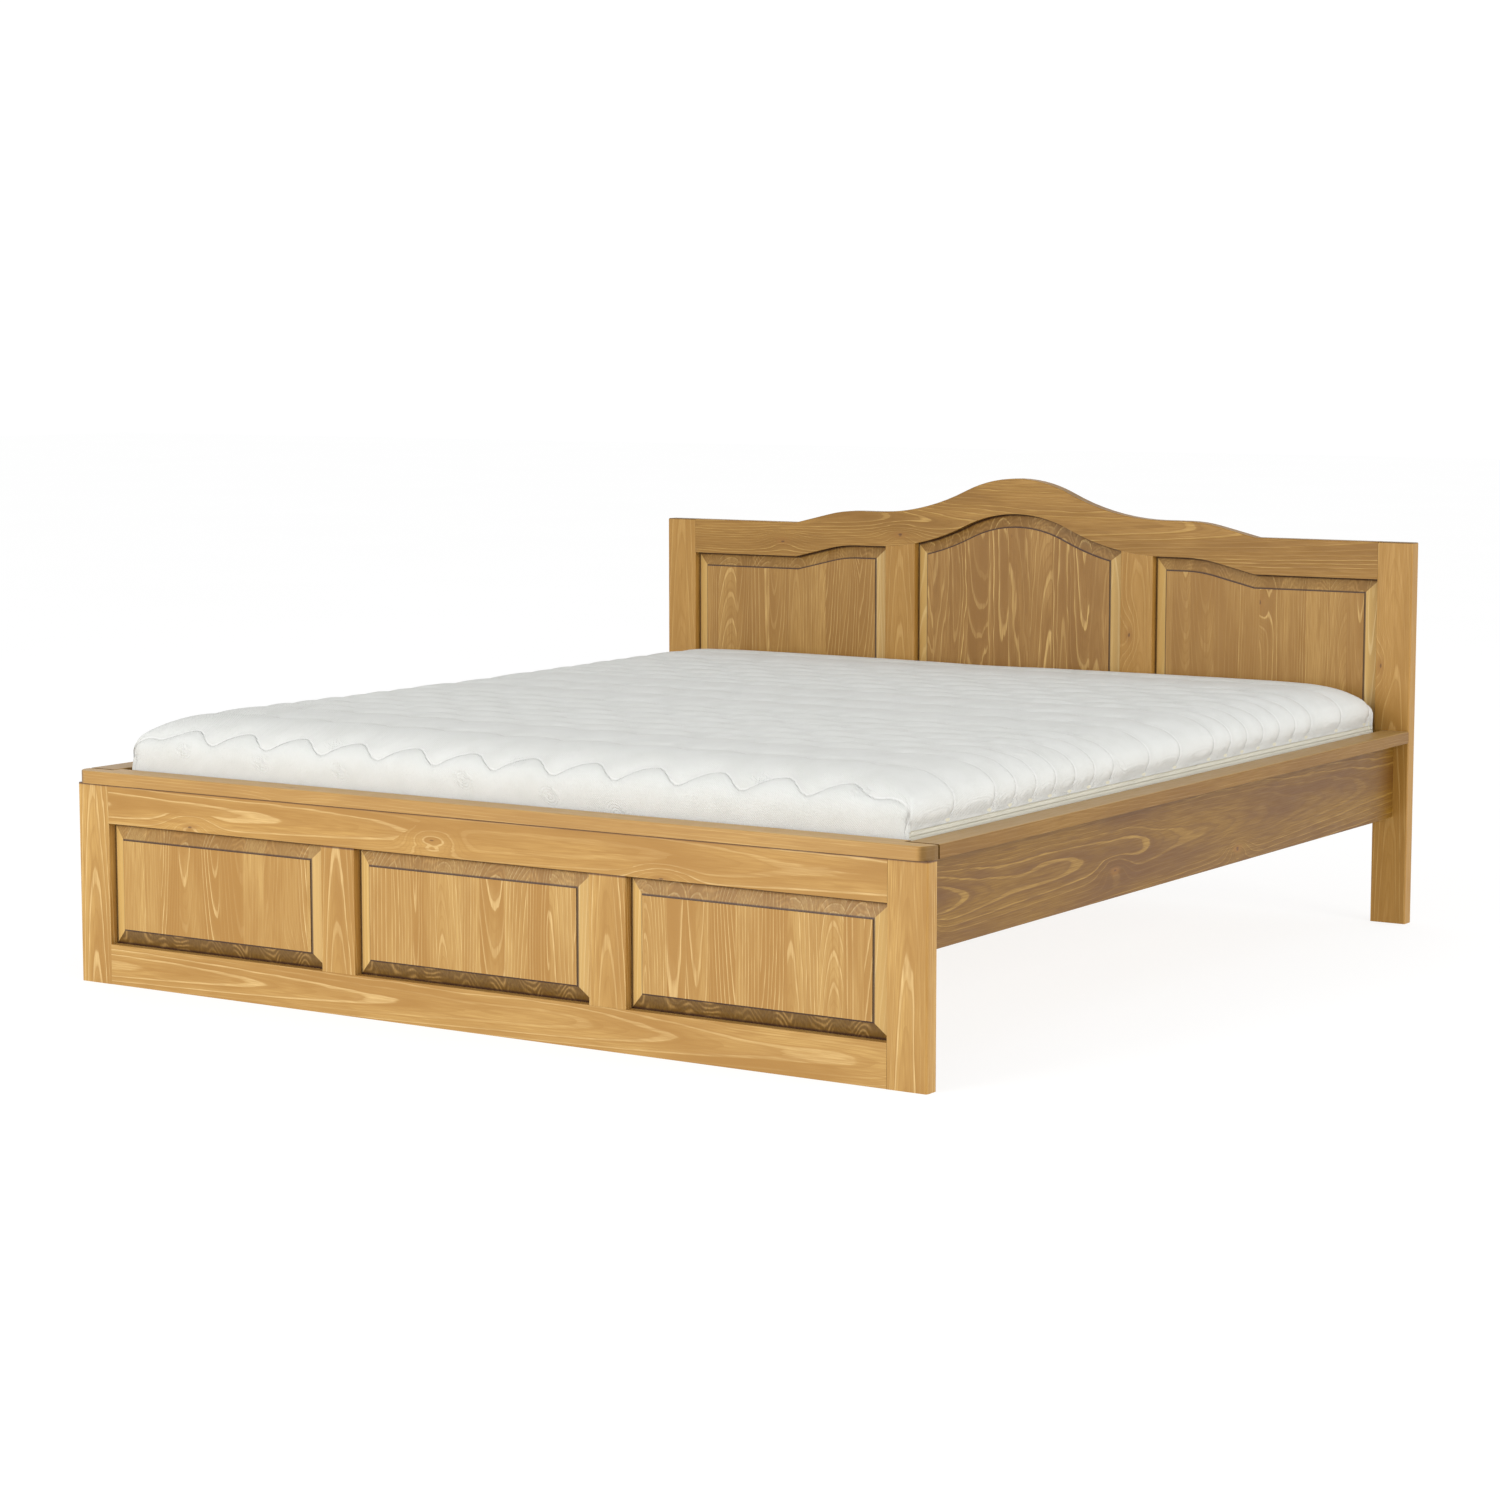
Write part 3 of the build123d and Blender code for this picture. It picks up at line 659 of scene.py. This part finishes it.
@dataclass(frozen=True)
class KnitFinish(Finish):
    """Off-white quilted knit, with its quilting lines on the cover's own seam distances, painted shade along
    each line, and a painted shadow and a painted highlight on either side of it.
    """

    base: Colour = paint(238, 239, 235)
    # Colour of the random mottling, also laid as painted shade in the crease along each quilting row
    mottle_and_crease_shade: Colour = paint(224, 225, 219)
    # Colour of the stitches, also laid as a painted shadow along one side of each quilting line
    stitch_and_shadow: Colour = paint(228, 229, 223)
    # Painted highlight laid along the other side of each quilting line
    thread_and_highlight: Colour = paint(250, 250, 248)
    tape: Colour = paint(238, 233, 214)
    piping: Colour = paint(196, 188, 162)
    loop: float = 0.0048
    stitch_length: float = 0.0042
    stitch_width: float = 0.0022
    stitch_shift: float = 0.0018
    shoulder: float = 0.0075
    height: float = 0.0011
    tape_low: float = 0.410
    tape_high: float = 0.431
    piping_gap: float = 0.008
    corner_top: float = 0.490

    def shade(self, s: Shade) -> None:
        """Fill in a material's shader."""
        x, y, z = s.split(s.place)
        count = s.attribute("row_count")
        away = s.times(s.minus(count, s.maths("ROUND", count)), s.attribute("row_pitch"))
        # Painted shadow: a darker line just to one side of each quilting row, dashed by the stitches
        groove_and_stitch_shadow = s.bell(s.plus(away, self.stitch_shift), self.stitch_width)
        # Painted highlight: a pale line just to the other side of each quilting row
        ridge_highlight = s.bell(s.minus(away, self.stitch_shift), self.stitch_width)
        shoulder = s.bell(away, self.shoulder)
        thread_and_highlight = s.wave(s.plus(x, z), 2 * math.pi / self.stitch_length)
        corner = s.ease(z, self.corner_top - 0.004, self.corner_top, 1.0, 0.0)
        corner = s.times(s.bell(s.attribute("corner_away"), 0.0013), corner)
        sewn_and_shadowed = s.times(groove_and_stitch_shadow, s.times_plus(thread_and_highlight, 0.25, 0.75))
        sewn_and_shadowed = s.maths("MAXIMUM", sewn_and_shadowed, s.times(corner, 0.6))

        turn = 2 * math.pi / self.loop
        rows = s.wave(s.plus(s.plus(x, y), z), turn)
        loops = s.wave(s.minus(s.minus(x, s.times(y, 0.6)), z), turn * 1.6)
        knit = s.plus(s.times_plus(rows, 0.32, s.times(loops, 0.18)), s.noise(s.place, 520.0, 3.0, 0.6))
        lump = s.noise(s.place, 16.0, 3.0, 0.55)
        swirl = s.cells("2D", 4.2, s.join(s.times_plus(z, 0.5, x), s.plus(y, z), 0.0)).outputs["Distance"]
        rings = s.times(s.wave(swirl, 270.0), s.ease(swirl, 0.07, 0.11, 1.0, 0.0))

        on_side = s.ease(s.maths("ABSOLUTE", s.split(s.normal)[0]), 0.45, 0.75)
        above = s.ease(z, self.tape_low - 0.001, self.tape_low)
        below = s.ease(z, self.tape_high, self.tape_high + 0.001, 1.0, 0.0)
        band = s.times(s.times(above, below), on_side)
        edge = s.minus(z, self.tape_high)
        cords = s.plus(s.bell(edge, 0.0011), s.bell(s.plus(edge, self.piping_gap), 0.0009))
        cords = s.times(cords, on_side)

        colour = s.layered(
            s.mix(s.ease(lump, 0.35, 0.7, 0.0, 0.35), self.base, self.mottle_and_crease_shade),
            # Painted shade in the crease along each quilting row
            (s.times(shoulder, 0.30), self.mottle_and_crease_shade),
            (s.times(sewn_and_shadowed, 0.60), self.stitch_and_shadow),
            (s.times(ridge_highlight, 0.70), self.thread_and_highlight),
            (s.times(band, 0.85), self.tape),
            (s.times(cords, 0.75), self.piping),
        )
        s.set(Base_Color=colour)
        s.set(Roughness=0.9, Specular_IOR_Level=0.2, Sheen_Weight=0.15)
        height = s.times_plus(rings, 0.45, s.times_plus(knit, 0.95, s.times(lump, 1.6)))
        height = s.times_plus(s.plus(sewn_and_shadowed, s.times(shoulder, 0.8)), -1.6, height)
        s.raise_by(s.times_plus(band, 0.8, s.times_plus(cords, -1.4, height)), self.height)


def seed_of(name: str) -> float:
    """Return a steady number for a name, so that each board has its own figure."""
    return sum((place + 1) * ord(letter) for place, letter in enumerate(name)) % 977 / 7.0


def dress(node: str, material: Material) -> Object:
    """Give a CAD node a material in place of the one it came with.

    Args:
        node: The CAD node's name.
        material: Its new material.

    Returns:
        The node's object.
    """
    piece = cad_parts[node]
    piece.data.materials.clear()
    piece.data.materials.append(material)
    return piece


def linked(name: str, data: bpy.types.ID) -> Object:
    """Put a new object in the scene, with its mesh, light or camera."""
    piece = bpy.data.objects.new(name, data)
    bpy.context.scene.collection.objects.link(piece)
    return piece


def points_of(mesh: bpy.types.Mesh, kind: str = "co") -> np.ndarray:
    """Return a mesh's points, or its points' normals, one row each."""
    flat = np.zeros(len(mesh.vertices) * 3, np.float32)
    mesh.vertices.foreach_get(kind, flat)
    return flat.reshape(-1, 3).astype(float)


def place_points(mesh: bpy.types.Mesh, points: np.ndarray) -> None:
    """Move a mesh's points to new places, one row each."""
    mesh.vertices.foreach_set("co", points.astype(np.float32).ravel())
    mesh.update()


@dataclass
class Joinery:
    """Boards of one sub-assembly, each with its finish and its grain."""

    boards: dict[str, tuple[PineFinish, Grain]] = field(default_factory=dict)

    def build(self) -> list[Object]:
        """Dress every board.

        Returns:
            The dressed nodes.
        """
        made = []
        for node, (finish, grain) in self.boards.items():
            made.append(dress(node, finish.material(node, grain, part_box(node), seed_of(node))))
        return made


@dataclass
class Footboard(Joinery):
    """The foot frame, its three panels and its cap."""

    frame_pine: PineFinish = PineFinish(ground=waxed(210, 169, 101), capped=True)
    rail_pine: PineFinish = PineFinish(
        ground=waxed(206, 164, 96), pith_depth=0.085, tilt=0.014, contrast=0.70, capped=True
    )
    low_pine: PineFinish = PineFinish(
        ground=waxed(206, 166, 100), pith_depth=0.070, tilt=0.018, contrast=0.72
    )
    panel_pine: PanelFinish = PanelFinish(ground=waxed(206, 168, 104))
    cap_pine: PineFinish = PineFinish(
        ground=waxed(196, 155, 92),
        shade=waxed(174, 132, 76),
        pith_depth=0.12,
        tilt=0.012,
        wander=0.008,
        contrast=0.4,
        painted_top_sheen=0.25,
    )

    def __post_init__(self) -> None:
        """List the footboard's boards."""
        self.boards["foot_top_rail"] = (self.rail_pine, Grain.CROSS)
        self.boards["foot_bottom_rail"] = (self.low_pine, Grain.CROSS)
        self.boards["foot_cap"] = (self.cap_pine, Grain.CROSS_FLAT)
        for side in ("left", "right"):
            self.boards[f"foot_stile_{side}"] = (self.frame_pine, Grain.UPRIGHT)
            self.boards[f"foot_muntin_{side}"] = (self.frame_pine, Grain.UPRIGHT)
        for bay in ("left", "centre", "right"):
            self.boards[f"foot_panel_{bay}"] = (self.panel_pine, Grain.UPRIGHT)


@dataclass
class Headboard(Joinery):
    """The head frame with its crest rail and its three panels."""

    frame_pine: PineFinish = PineFinish(
        ground=waxed(192, 149, 84), line=waxed(214, 174, 108), shade=waxed(168, 125, 64), contrast=0.6
    )
    rail_pine: PineFinish = PineFinish(
        ground=waxed(184, 141, 76),
        line=waxed(208, 168, 98),
        shade=waxed(146, 106, 52),
        wander=0.022,
        knots=0.4,
    )
    panel_pine: PanelFinish = PanelFinish(
        ground=waxed(192, 152, 88),
        line=waxed(218, 180, 114),
        shade=waxed(158, 117, 62),
        end=waxed(120, 90, 50),
    )
    centre_pine: PanelFinish = PanelFinish(
        ground=waxed(180, 139, 80),
        line=waxed(222, 184, 116),
        shade=waxed(148, 108, 58),
        end=waxed(120, 90, 50),
        ring_spacing=0.0085,
        pith_depth=0.05,
        wander=0.040,
        contrast=0.95,
    )

    def __post_init__(self) -> None:
        """List the headboard's boards."""
        self.boards["head_top_rail"] = (self.rail_pine, Grain.CROSS)
        self.boards["head_bottom_rail"] = (self.rail_pine, Grain.CROSS)
        for side in ("left", "right"):
            self.boards[f"head_post_{side}"] = (self.frame_pine, Grain.UPRIGHT)
            self.boards[f"head_muntin_{side}"] = (self.frame_pine, Grain.UPRIGHT)
        for bay in ("left", "right"):
            self.boards[f"head_panel_{bay}"] = (self.panel_pine, Grain.UPRIGHT)
        self.boards["head_panel_centre"] = (self.centre_pine, Grain.UPRIGHT)


@dataclass
class SideRails(Joinery):
    """The side rails, their caps and their ledges."""

    rail_pine: PineFinish = PineFinish(
        ground=waxed(151, 114, 48),
        line=waxed(184, 146, 76),
        shade=waxed(117, 83, 34),
        pith_depth=0.075,
        tilt=0.022,
        wander=0.020,
        contrast=0.75,
        knots=0.5,
        capped=True,
    )
    cap_pine: PineFinish = PineFinish(
        ground=waxed(156, 118, 58),
        line=waxed(192, 156, 100),
        shade=waxed(134, 97, 44),
        contrast=0.30,
        knots=0.1,
        painted_top_sheen=0.75,
    )
    raw_pine: PineFinish = PineFinish(
        ground=paint(226, 196, 148),
        line=paint(206, 160, 104),
        shade=paint(208, 174, 122),
        knots=0.15,
        brushed=0.0001,
    )

    def __post_init__(self) -> None:
        """List the side rails' boards."""
        for side in ("left", "right"):
            self.boards[f"side_rail_{side}"] = (self.rail_pine, Grain.ALONG)
            self.boards[f"side_cap_{side}"] = (self.cap_pine, Grain.ALONG_FLAT)
            self.boards[f"slat_ledge_{side}"] = (self.raw_pine, Grain.ALONG)


@dataclass
class SlatBase(Joinery):
    """The loose slats, the beam under them, its cleats and its leg, all in raw pine."""

    slats: int = 13
    raw_pine: PineFinish = PineFinish(
        ground=paint(228, 198, 150),
        line=paint(205, 160, 104),
        shade=paint(210, 176, 124),
        end=paint(196, 160, 110),
        knots=0.25,
        brushed=0.0001,
        roughness=0.6,
    )

    def __post_init__(self) -> None:
        """List the slats and the boards under them."""
        for number in range(1, self.slats + 1):
            self.boards[f"slat_{number:02d}"] = (self.raw_pine, Grain.CROSS_FLAT)
        self.boards["centre_beam"] = (self.raw_pine, Grain.ALONG)
        self.boards["foot_cleat"] = (self.raw_pine, Grain.CROSS)
        self.boards["head_cleat"] = (self.raw_pine, Grain.CROSS)
        self.boards["centre_leg"] = (self.raw_pine, Grain.UPRIGHT)


@dataclass
class Fittings:
    """Screws, plates, dowels, straps and the middle leg's foot."""

    zinc: MetalFinish = MetalFinish(paint(196, 198, 198), paint(150, 152, 154))
    yellow_zinc: MetalFinish = MetalFinish(paint(204, 190, 140), paint(160, 146, 100))
    brass: MetalFinish = MetalFinish(paint(206, 172, 96), paint(160, 128, 64), 0.3)
    beech: GrainyFinish = GrainyFinish(paint(214, 180, 136), paint(186, 148, 104), 260.0)
    plastic: GrainyFinish = GrainyFinish(paint(34, 34, 35), paint(48, 48, 50), 900.0, 0.5, 0.00008)
    webbing: WebbingFinish = WebbingFinish()

    def build(self) -> list[Object]:
        """Dress the fittings.

        Returns:
            The dressed nodes.
        """
        screws = ("plate_screws", "ledge_screws", "cleat_screws", "bracket_screws")
        groups = {
            self.zinc.material("zinc_sheet"): ("hook_plates", "catch_plates", "beam_brackets", "leg_stud"),
            self.yellow_zinc.material("zinc_screws"): screws,
            self.brass.material("turned_brass"): ("leg_insert",),
            self.beech.material("beech_dowels"): ("foot_dowels", "head_dowels", "cap_dowels"),
            self.plastic.material("black_plastic"): ("screw_foot",),
            self.webbing.material("slat_webbing"): ("slat_strap_left", "slat_strap_right"),
        }
        return [dress(node, material) for material, nodes in groups.items() for node in nodes]


@dataclass
class Mattress:
    """A foam mattress in a quilted knit cover, swollen by cloth pressure and then quilted."""

    end_swell: float = 0.002
    side_swell: float = 0.006
    base_lift: float = 0.0005
    crown_drop: float = 0.008
    cell_across: float = 0.046
    cell_along: float = 0.030
    rim: float = 0.095
    rim_cuts: tuple[float, float] = (0.014, 0.052)
    side_cut: float = 0.090
    edge_drop: float = 0.048
    hold: float = 0.25
    foot_rim: float = 0.022
    swell: float = 0.013
    frames: int = 20
    clearance: float = 0.0015
    rows: tuple[float, ...] = (
        (-0.977, -0.815)
        + tuple(-0.664 + 0.0767 * step for step in range(7))
        + (-0.053, 0.080)
        + tuple(0.231 + 0.0767 * step for step in range(7))
        + (0.842, 0.993)
    )
    scallop: float = 0.137
    scallop_height: float = 0.012
    first_scallop: float = 0.029
    scallop_lean: float = 0.22
    scallop_fade: tuple[float, float] = (0.14, 0.11)
    outer_rows: float = 0.22
    sweep: float = 0.022
    sweep_from: tuple[float, float] = (0.035, 0.055)
    seam_pinch: float = 0.012
    seam_width: float = 0.016
    corner_pinch: float = 0.0025
    corner_width: float = 0.014
    corner_fade: float = 0.012
    quilt_depth: float = 0.0032
    quilt_width: float = 0.010
    puff_depth: float = 0.0034
    puff_width: float = 0.030
    tape_fade: float = 0.01
    no_row: float = 9.0
    cover_depth: float = 0.013
    knit: KnitFinish = KnitFinish()
    foam: GrainyFinish = GrainyFinish(paint(238, 234, 214), paint(222, 216, 190), 900.0, 0.95, 0.0005)

    def block(self, low: Vector, high: Vector) -> Object:
        """Make the closed block that is blown up, cut into even cells.

        Args:
            low: Its lowest corner.
            high: Its highest corner.

        Returns:
            The block.
        """
        shape = bmesh.new()
        bmesh.ops.create_cube(shape, size=1.0)
        bmesh.ops.scale(shape, vec=high - low, verts=shape.verts)
        bmesh.ops.translate(shape, vec=(low + high) / 2, verts=shape.verts)
        across = self.stations(low.x, high.x, self.cell_across)
        along = self.stations(low.y, high.y, self.cell_along)
        up = [low.z + self.foot_rim, high.z - self.side_cut]
        for axis, places in enumerate((across, along, up)):
            facing = [0.0, 0.0, 0.0]
            facing[axis] = 1.0
            for place in places:
                bmesh.ops.bisect_plane(
                    shape,
                    geom=shape.verts[:] + shape.edges[:] + shape.faces[:],
                    dist=CUT_TOLERANCE,
                    plane_co=[place * part for part in facing],
                    plane_no=facing,
                )
        for point in (vert.co for vert in shape.verts if vert.co.z > high.z - TOP_TOLERANCE):
            inset = min(point.x - low.x, high.x - point.x, point.y - low.y, high.y - point.y)
            outward = max(1 - inset / self.rim, 0.0)
            point.z -= self.edge_drop * (1 - math.sqrt(max(1 - outward * outward, 0.0)))
        bmesh.ops.recalc_face_normals(shape, faces=shape.faces)
        mesh = bpy.data.meshes.new("mattress_block")
        shape.to_mesh(mesh)
        shape.free()
        return linked("mattress_block", mesh)

    def stations(self, low: float, high: float, cell: float) -> list[float]:
        """Return where the block is cut along one axis.

        Args:
            low: Its low end.
            high: Its high end.
            cell: The spacing wanted between cuts away from the rim.

        Returns:
            The places of the cuts.
        """
        count = round((high - low - 2 * self.rim) / cell)
        middle = [float(place) for place in np.linspace(low + self.rim, high - self.rim, count + 1)]
        return [low + inset for inset in self.rim_cuts] + middle + [high - inset for inset in self.rim_cuts]

    def swollen(self, piece: Object) -> None:
        """Blow the block up with cloth pressure and keep a soft cap on how far each point moves.

        Args:
            piece: The block.
        """
        rest = points_of(piece.data)
        cloth = piece.modifiers.new("pressure", "CLOTH")
        for name, value in CLOTH.items():
            setattr(cloth.settings, name, value)
        cloth.settings.effector_weights.gravity = 0.0
        scene = bpy.context.scene
        for number in range(1, self.frames + 1):
            scene.frame_set(number)
        blown = piece.evaluated_get(bpy.context.evaluated_depsgraph_get())
        moved = points_of(blown.data) - rest
        inward = (rest - rest.mean(axis=0)) * moved < 0
        moved = np.where(inward, moved * self.hold, moved)
        piece.modifiers.remove(cloth)
        scene.frame_set(1)
        reach = np.linalg.norm(moved, axis=1, keepdims=True) + 1e-9
        log.info("mattress swelled by up to %.1f mm before the cap", float(reach.max()) * 1000)
        place_points(piece.data, rest + moved / reach * self.swell * np.tanh(reach / self.swell))

    def kept_clear(self, points: np.ndarray) -> np.ndarray:
        """Keep the mattress off the slats, the caps and the two boards.

        Args:
            points: The points.

        Returns:
            The points, moved where they came too near.
        """
        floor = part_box("mattress_cover")[0].z
        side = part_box("side_cap_right")[0].x - self.clearance
        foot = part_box("foot_cap")[1].y + self.clearance
        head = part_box("head_bottom_rail")[0].y - self.clearance
        kept = points.copy()
        kept[:, 0] = np.clip(kept[:, 0], -side, side)
        kept[:, 1] = np.clip(kept[:, 1], foot, head)
        kept[:, 2] = np.maximum(kept[:, 2], floor)
        return kept

    def rows_at(self, points: np.ndarray, low: Vector, high: Vector) -> tuple[np.ndarray, np.ndarray]:
        """Count the quilting rows up to each point, a whole number on a row and a share in between.

        Args:
            points: The points.
            low: The mattress's lowest corner.
            high: Its highest corner.

        Returns:
            The count at each point, and the distance between the two rows it lies between.
        """
        x, y, z = points.T
        foot_depth = np.clip(low.y + self.rim - y, 0, self.rim) / self.rim
        side_depth = np.clip(np.abs(x) - (high.x - self.rim), 0, self.rim) / self.rim
        head_depth = np.clip(y - high.y + self.rim, 0, self.rim) / self.rim
        down = np.maximum(high.z - z, 0)
        run = y - down * foot_depth * (1 - side_depth) + down * head_depth * (1 - side_depth)
        start, depth = self.sweep_from
        run = run + self.sweep * side_depth * np.clip((down - start) / depth, 0, 1) ** 2
        start, width = self.scallop_fade
        fade = 1 - np.clip((np.abs(x) - (high.x - start)) / width, 0, 1)
        lines = []
        for number, row in enumerate((low.y - self.outer_rows, *self.rows, high.y + self.outer_rows)):
            shift = self.scallop / 2 * (number % 2)
            turn = 2 * math.pi * (x + shift) / self.scallop
            wave = np.cos(turn - self.scallop_lean * (np.sin(turn) + np.cos(turn)))
            lines.append(row + (self.scallop_height if number > 1 else self.first_scallop) * wave * fade)
        count, pitch = np.zeros(len(points)), np.zeros(len(points))
        for number, (start, end) in enumerate(zip(lines, lines[1:])):
            inside = (run >= start) & (run < end)
            count = np.where(inside, number + (run - start) / (end - start), count)
            pitch = np.where(inside, end - start, pitch)
        return count, pitch

    def quilted(self, piece: Object, low: Vector, high: Vector) -> None:
        """Draw the surface in along the quilting rows and let it puff between them.

        Args:
            piece: The cover.
            low: The mattress's lowest corner.
            high: Its highest corner.
        """
        points = points_of(piece.data)
        count, pitch = self.rows_at(points, low, high)
        away = (count - np.round(count)) * pitch
        normals = points_of(piece.data, "normal")
        above_tape = points[:, 2] - self.knit.tape_high
        on_top = np.clip(above_tape / self.tape_fade, 0, 1)
        groove_and_stitch_shadow = np.exp(-((away / self.quilt_width) ** 2)) * self.quilt_depth
        puff = np.exp(-((away / self.puff_width) ** 2)) * self.puff_depth
        seam = np.exp(-((above_tape / self.seam_width) ** 2)) * self.seam_pinch
        corner = (high.x - np.abs(points[:, 0]) - (points[:, 1] - low.y)) / math.sqrt(2)
        below = np.clip((self.knit.corner_top - points[:, 2]) / self.corner_fade, 0, 1)
        pinch = np.exp(-((corner / self.corner_width) ** 2)) * below * self.corner_pinch
        pull = ((groove_and_stitch_shadow + puff) * on_top + seam * np.abs(normals[:, 0]) + pinch)[:, None]
        place_points(piece.data, self.kept_clear(points - normals * pull))
        faded = pitch * on_top + self.no_row * (1 - on_top)
        for name, values in (("row_count", count), ("row_pitch", faded), ("corner_away", corner)):
            layer = piece.data.attributes.new(name, "FLOAT", "POINT")
            layer.data.foreach_set("value", values.astype(np.float32))

    def build(self) -> list[Object]:
        """Make the cover and the foam core.

        Returns:
            The two pieces.
        """
        low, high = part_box("mattress_cover")
        wider = Vector((self.side_swell, self.end_swell, 0.0))
        start_low = low - wider + Vector((0.0, 0.0, self.base_lift))
        start_high = high + wider - Vector((0.0, 0.0, self.crown_drop))
        cover = self.block(start_low, start_high)
        self.swollen(cover)
        place_points(cover.data, self.kept_clear(points_of(cover.data)))
        core = linked("mattress_core_block", cover.data.copy())
        self.finished(cover, "mattress_quilted_cover", 2)
        self.quilted(cover, low, high)
        self.finished(core, "mattress_foam_core", 1)
        place_points(core.data, points_of(core.data) - self.cover_depth * points_of(core.data, "normal"))
        cover.data.materials.append(self.knit.material("quilted_knit"))
        core.data.materials.append(self.foam.material("cut_foam"))
        for piece, node, slot in ((cover, "mattress_cover", "mattress_knit"), (core, "mattress_core", "foam")):
            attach(piece, "mattress")
            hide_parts(node)
        return [cover, core]

    def finished(self, piece: Object, name: str, levels: int) -> None:
        """Round a piece with subdivision, applied to its mesh.

        Args:
            piece: The piece.
            name: Its name.
            levels: How many times it is subdivided.
        """
        rounder = piece.modifiers.new("rounded", "SUBSURF")
        rounder.levels = levels
        rounder.render_levels = levels
        depsgraph = bpy.context.evaluated_depsgraph_get()
        mesh = bpy.data.meshes.new_from_object(piece.evaluated_get(depsgraph))
        piece.modifiers.remove(rounder)
        piece.data = mesh
        piece.name = name
        mesh.name = name
        mesh.polygons.foreach_set("use_smooth", [True] * len(mesh.polygons))
        mesh.update()


@dataclass
class Studio:
    """A pale floor, soft lights and the camera."""

    camera_place: Vector = field(default_factory=lambda: Vector((3.8710, -6.0381, 1.2630)))
    camera_turn: Place = (math.pi / 2 - 0.117, 0.0, 0.578)
    lens: float = 83.67
    sensor: float = 36.0
    floor_size: float = 60.0
    floor_tones: tuple[Colour, Colour] = ((0.24, 0.24, 0.24), (0.26, 0.26, 0.26))
    floor_glow: float = 0.80
    # The world's strength, from near the horizon to near the zenith
    sky: tuple[tuple[str, float], ...] = (
        ("From Min", 0.15), ("From Max", 0.9), ("To Min", 1.10), ("To Max", 0.62)
    )
    # Each softbox's name, place, side in metres and power in watts, and the point they all face
    softboxes: tuple[tuple[str, Place, float, float], ...] = (
        ("front_softbox", (-1.6, -7.0, 2.2), 3.5, 260.0),
        ("right_softbox", (6.5, -1.0, 2.0), 3.0, 180.0),
    )
    lit_point: Place = (0.0, 0.0, 0.3)

    def floor(self) -> Object:
        """Make the floor, which glows so that it fades into the background."""
        shape = bmesh.new()
        bmesh.ops.create_grid(shape, x_segments=1, y_segments=1, size=self.floor_size / 2)
        mesh = bpy.data.meshes.new("studio_floor")
        shape.to_mesh(mesh)
        shape.free()
        piece = linked("studio_floor", mesh)
        s = Shade("pale_floor")
        cloud = s.noise(s.place, 0.8, 2.0)
        s.set(Base_Color=s.mix(cloud, *self.floor_tones))
        s.set(Emission_Color=(1.0, 1.0, 1.0))
        s.set(Roughness=0.9, Specular_IOR_Level=0.0, Emission_Strength=self.floor_glow)
        piece.data.materials.append(s.material)
        return piece

    def lamp(self, name: str, place: Vector, size: float, power: float) -> Object:
        """Hang one square lamp of a size in metres and a power in watts, facing the lit point."""
        light = bpy.data.lights.new(name, "AREA")
        light.size = size
        light.energy = power
        lamp = linked(name, light)
        lamp.location = place
        lamp.rotation_euler = (Vector(self.lit_point) - place).to_track_quat("-Z", "Y").to_euler()
        return lamp

    def build(self) -> list[Object]:
        """Set up the studio, and return its floor, lamps and camera."""
        world = bpy.data.worlds.new("studio")
        world.use_nodes = True
        tree = world.node_tree
        background = tree.nodes["Background"]
        background.inputs["Color"].default_value = (1.0, 1.0, 1.0, 1.0)
        direction = tree.nodes.new("ShaderNodeTexCoord")
        parts = tree.nodes.new("ShaderNodeSeparateXYZ")
        falling = tree.nodes.new("ShaderNodeMapRange")
        for name, value in self.sky:
            falling.inputs[name].default_value = value
        tree.links.new(direction.outputs["Generated"], parts.inputs[0])
        tree.links.new(parts.outputs[2], falling.inputs["Value"])
        tree.links.new(falling.outputs[0], background.inputs["Strength"])
        bpy.context.scene.world = world
        bpy.context.scene.view_settings.view_transform = "Standard"
        lamps = [self.lamp(name, Vector(place), size, power) for name, place, size, power in self.softboxes]
        camera = bpy.data.cameras.new("camera")
        camera.lens = self.lens
        camera.sensor_width = self.sensor
        stand = linked("camera", camera)
        stand.location = self.camera_place
        stand.rotation_euler = self.camera_turn
        bpy.context.scene.camera = stand
        return [self.floor(), *lamps, stand]


def main() -> None:
    """Build the bed's looks and the studio, and report every piece."""
    logging.basicConfig(level=logging.INFO, format="%(name)s: %(message)s")
    for assembly in (Footboard(), Headboard(), SideRails(), SlatBase(), Fittings(), Mattress(), Studio()):
        for piece in assembly.build():
            log.info("%s: %s", type(assembly).__name__, piece.name)


if __name__ == "__main__":
    main()
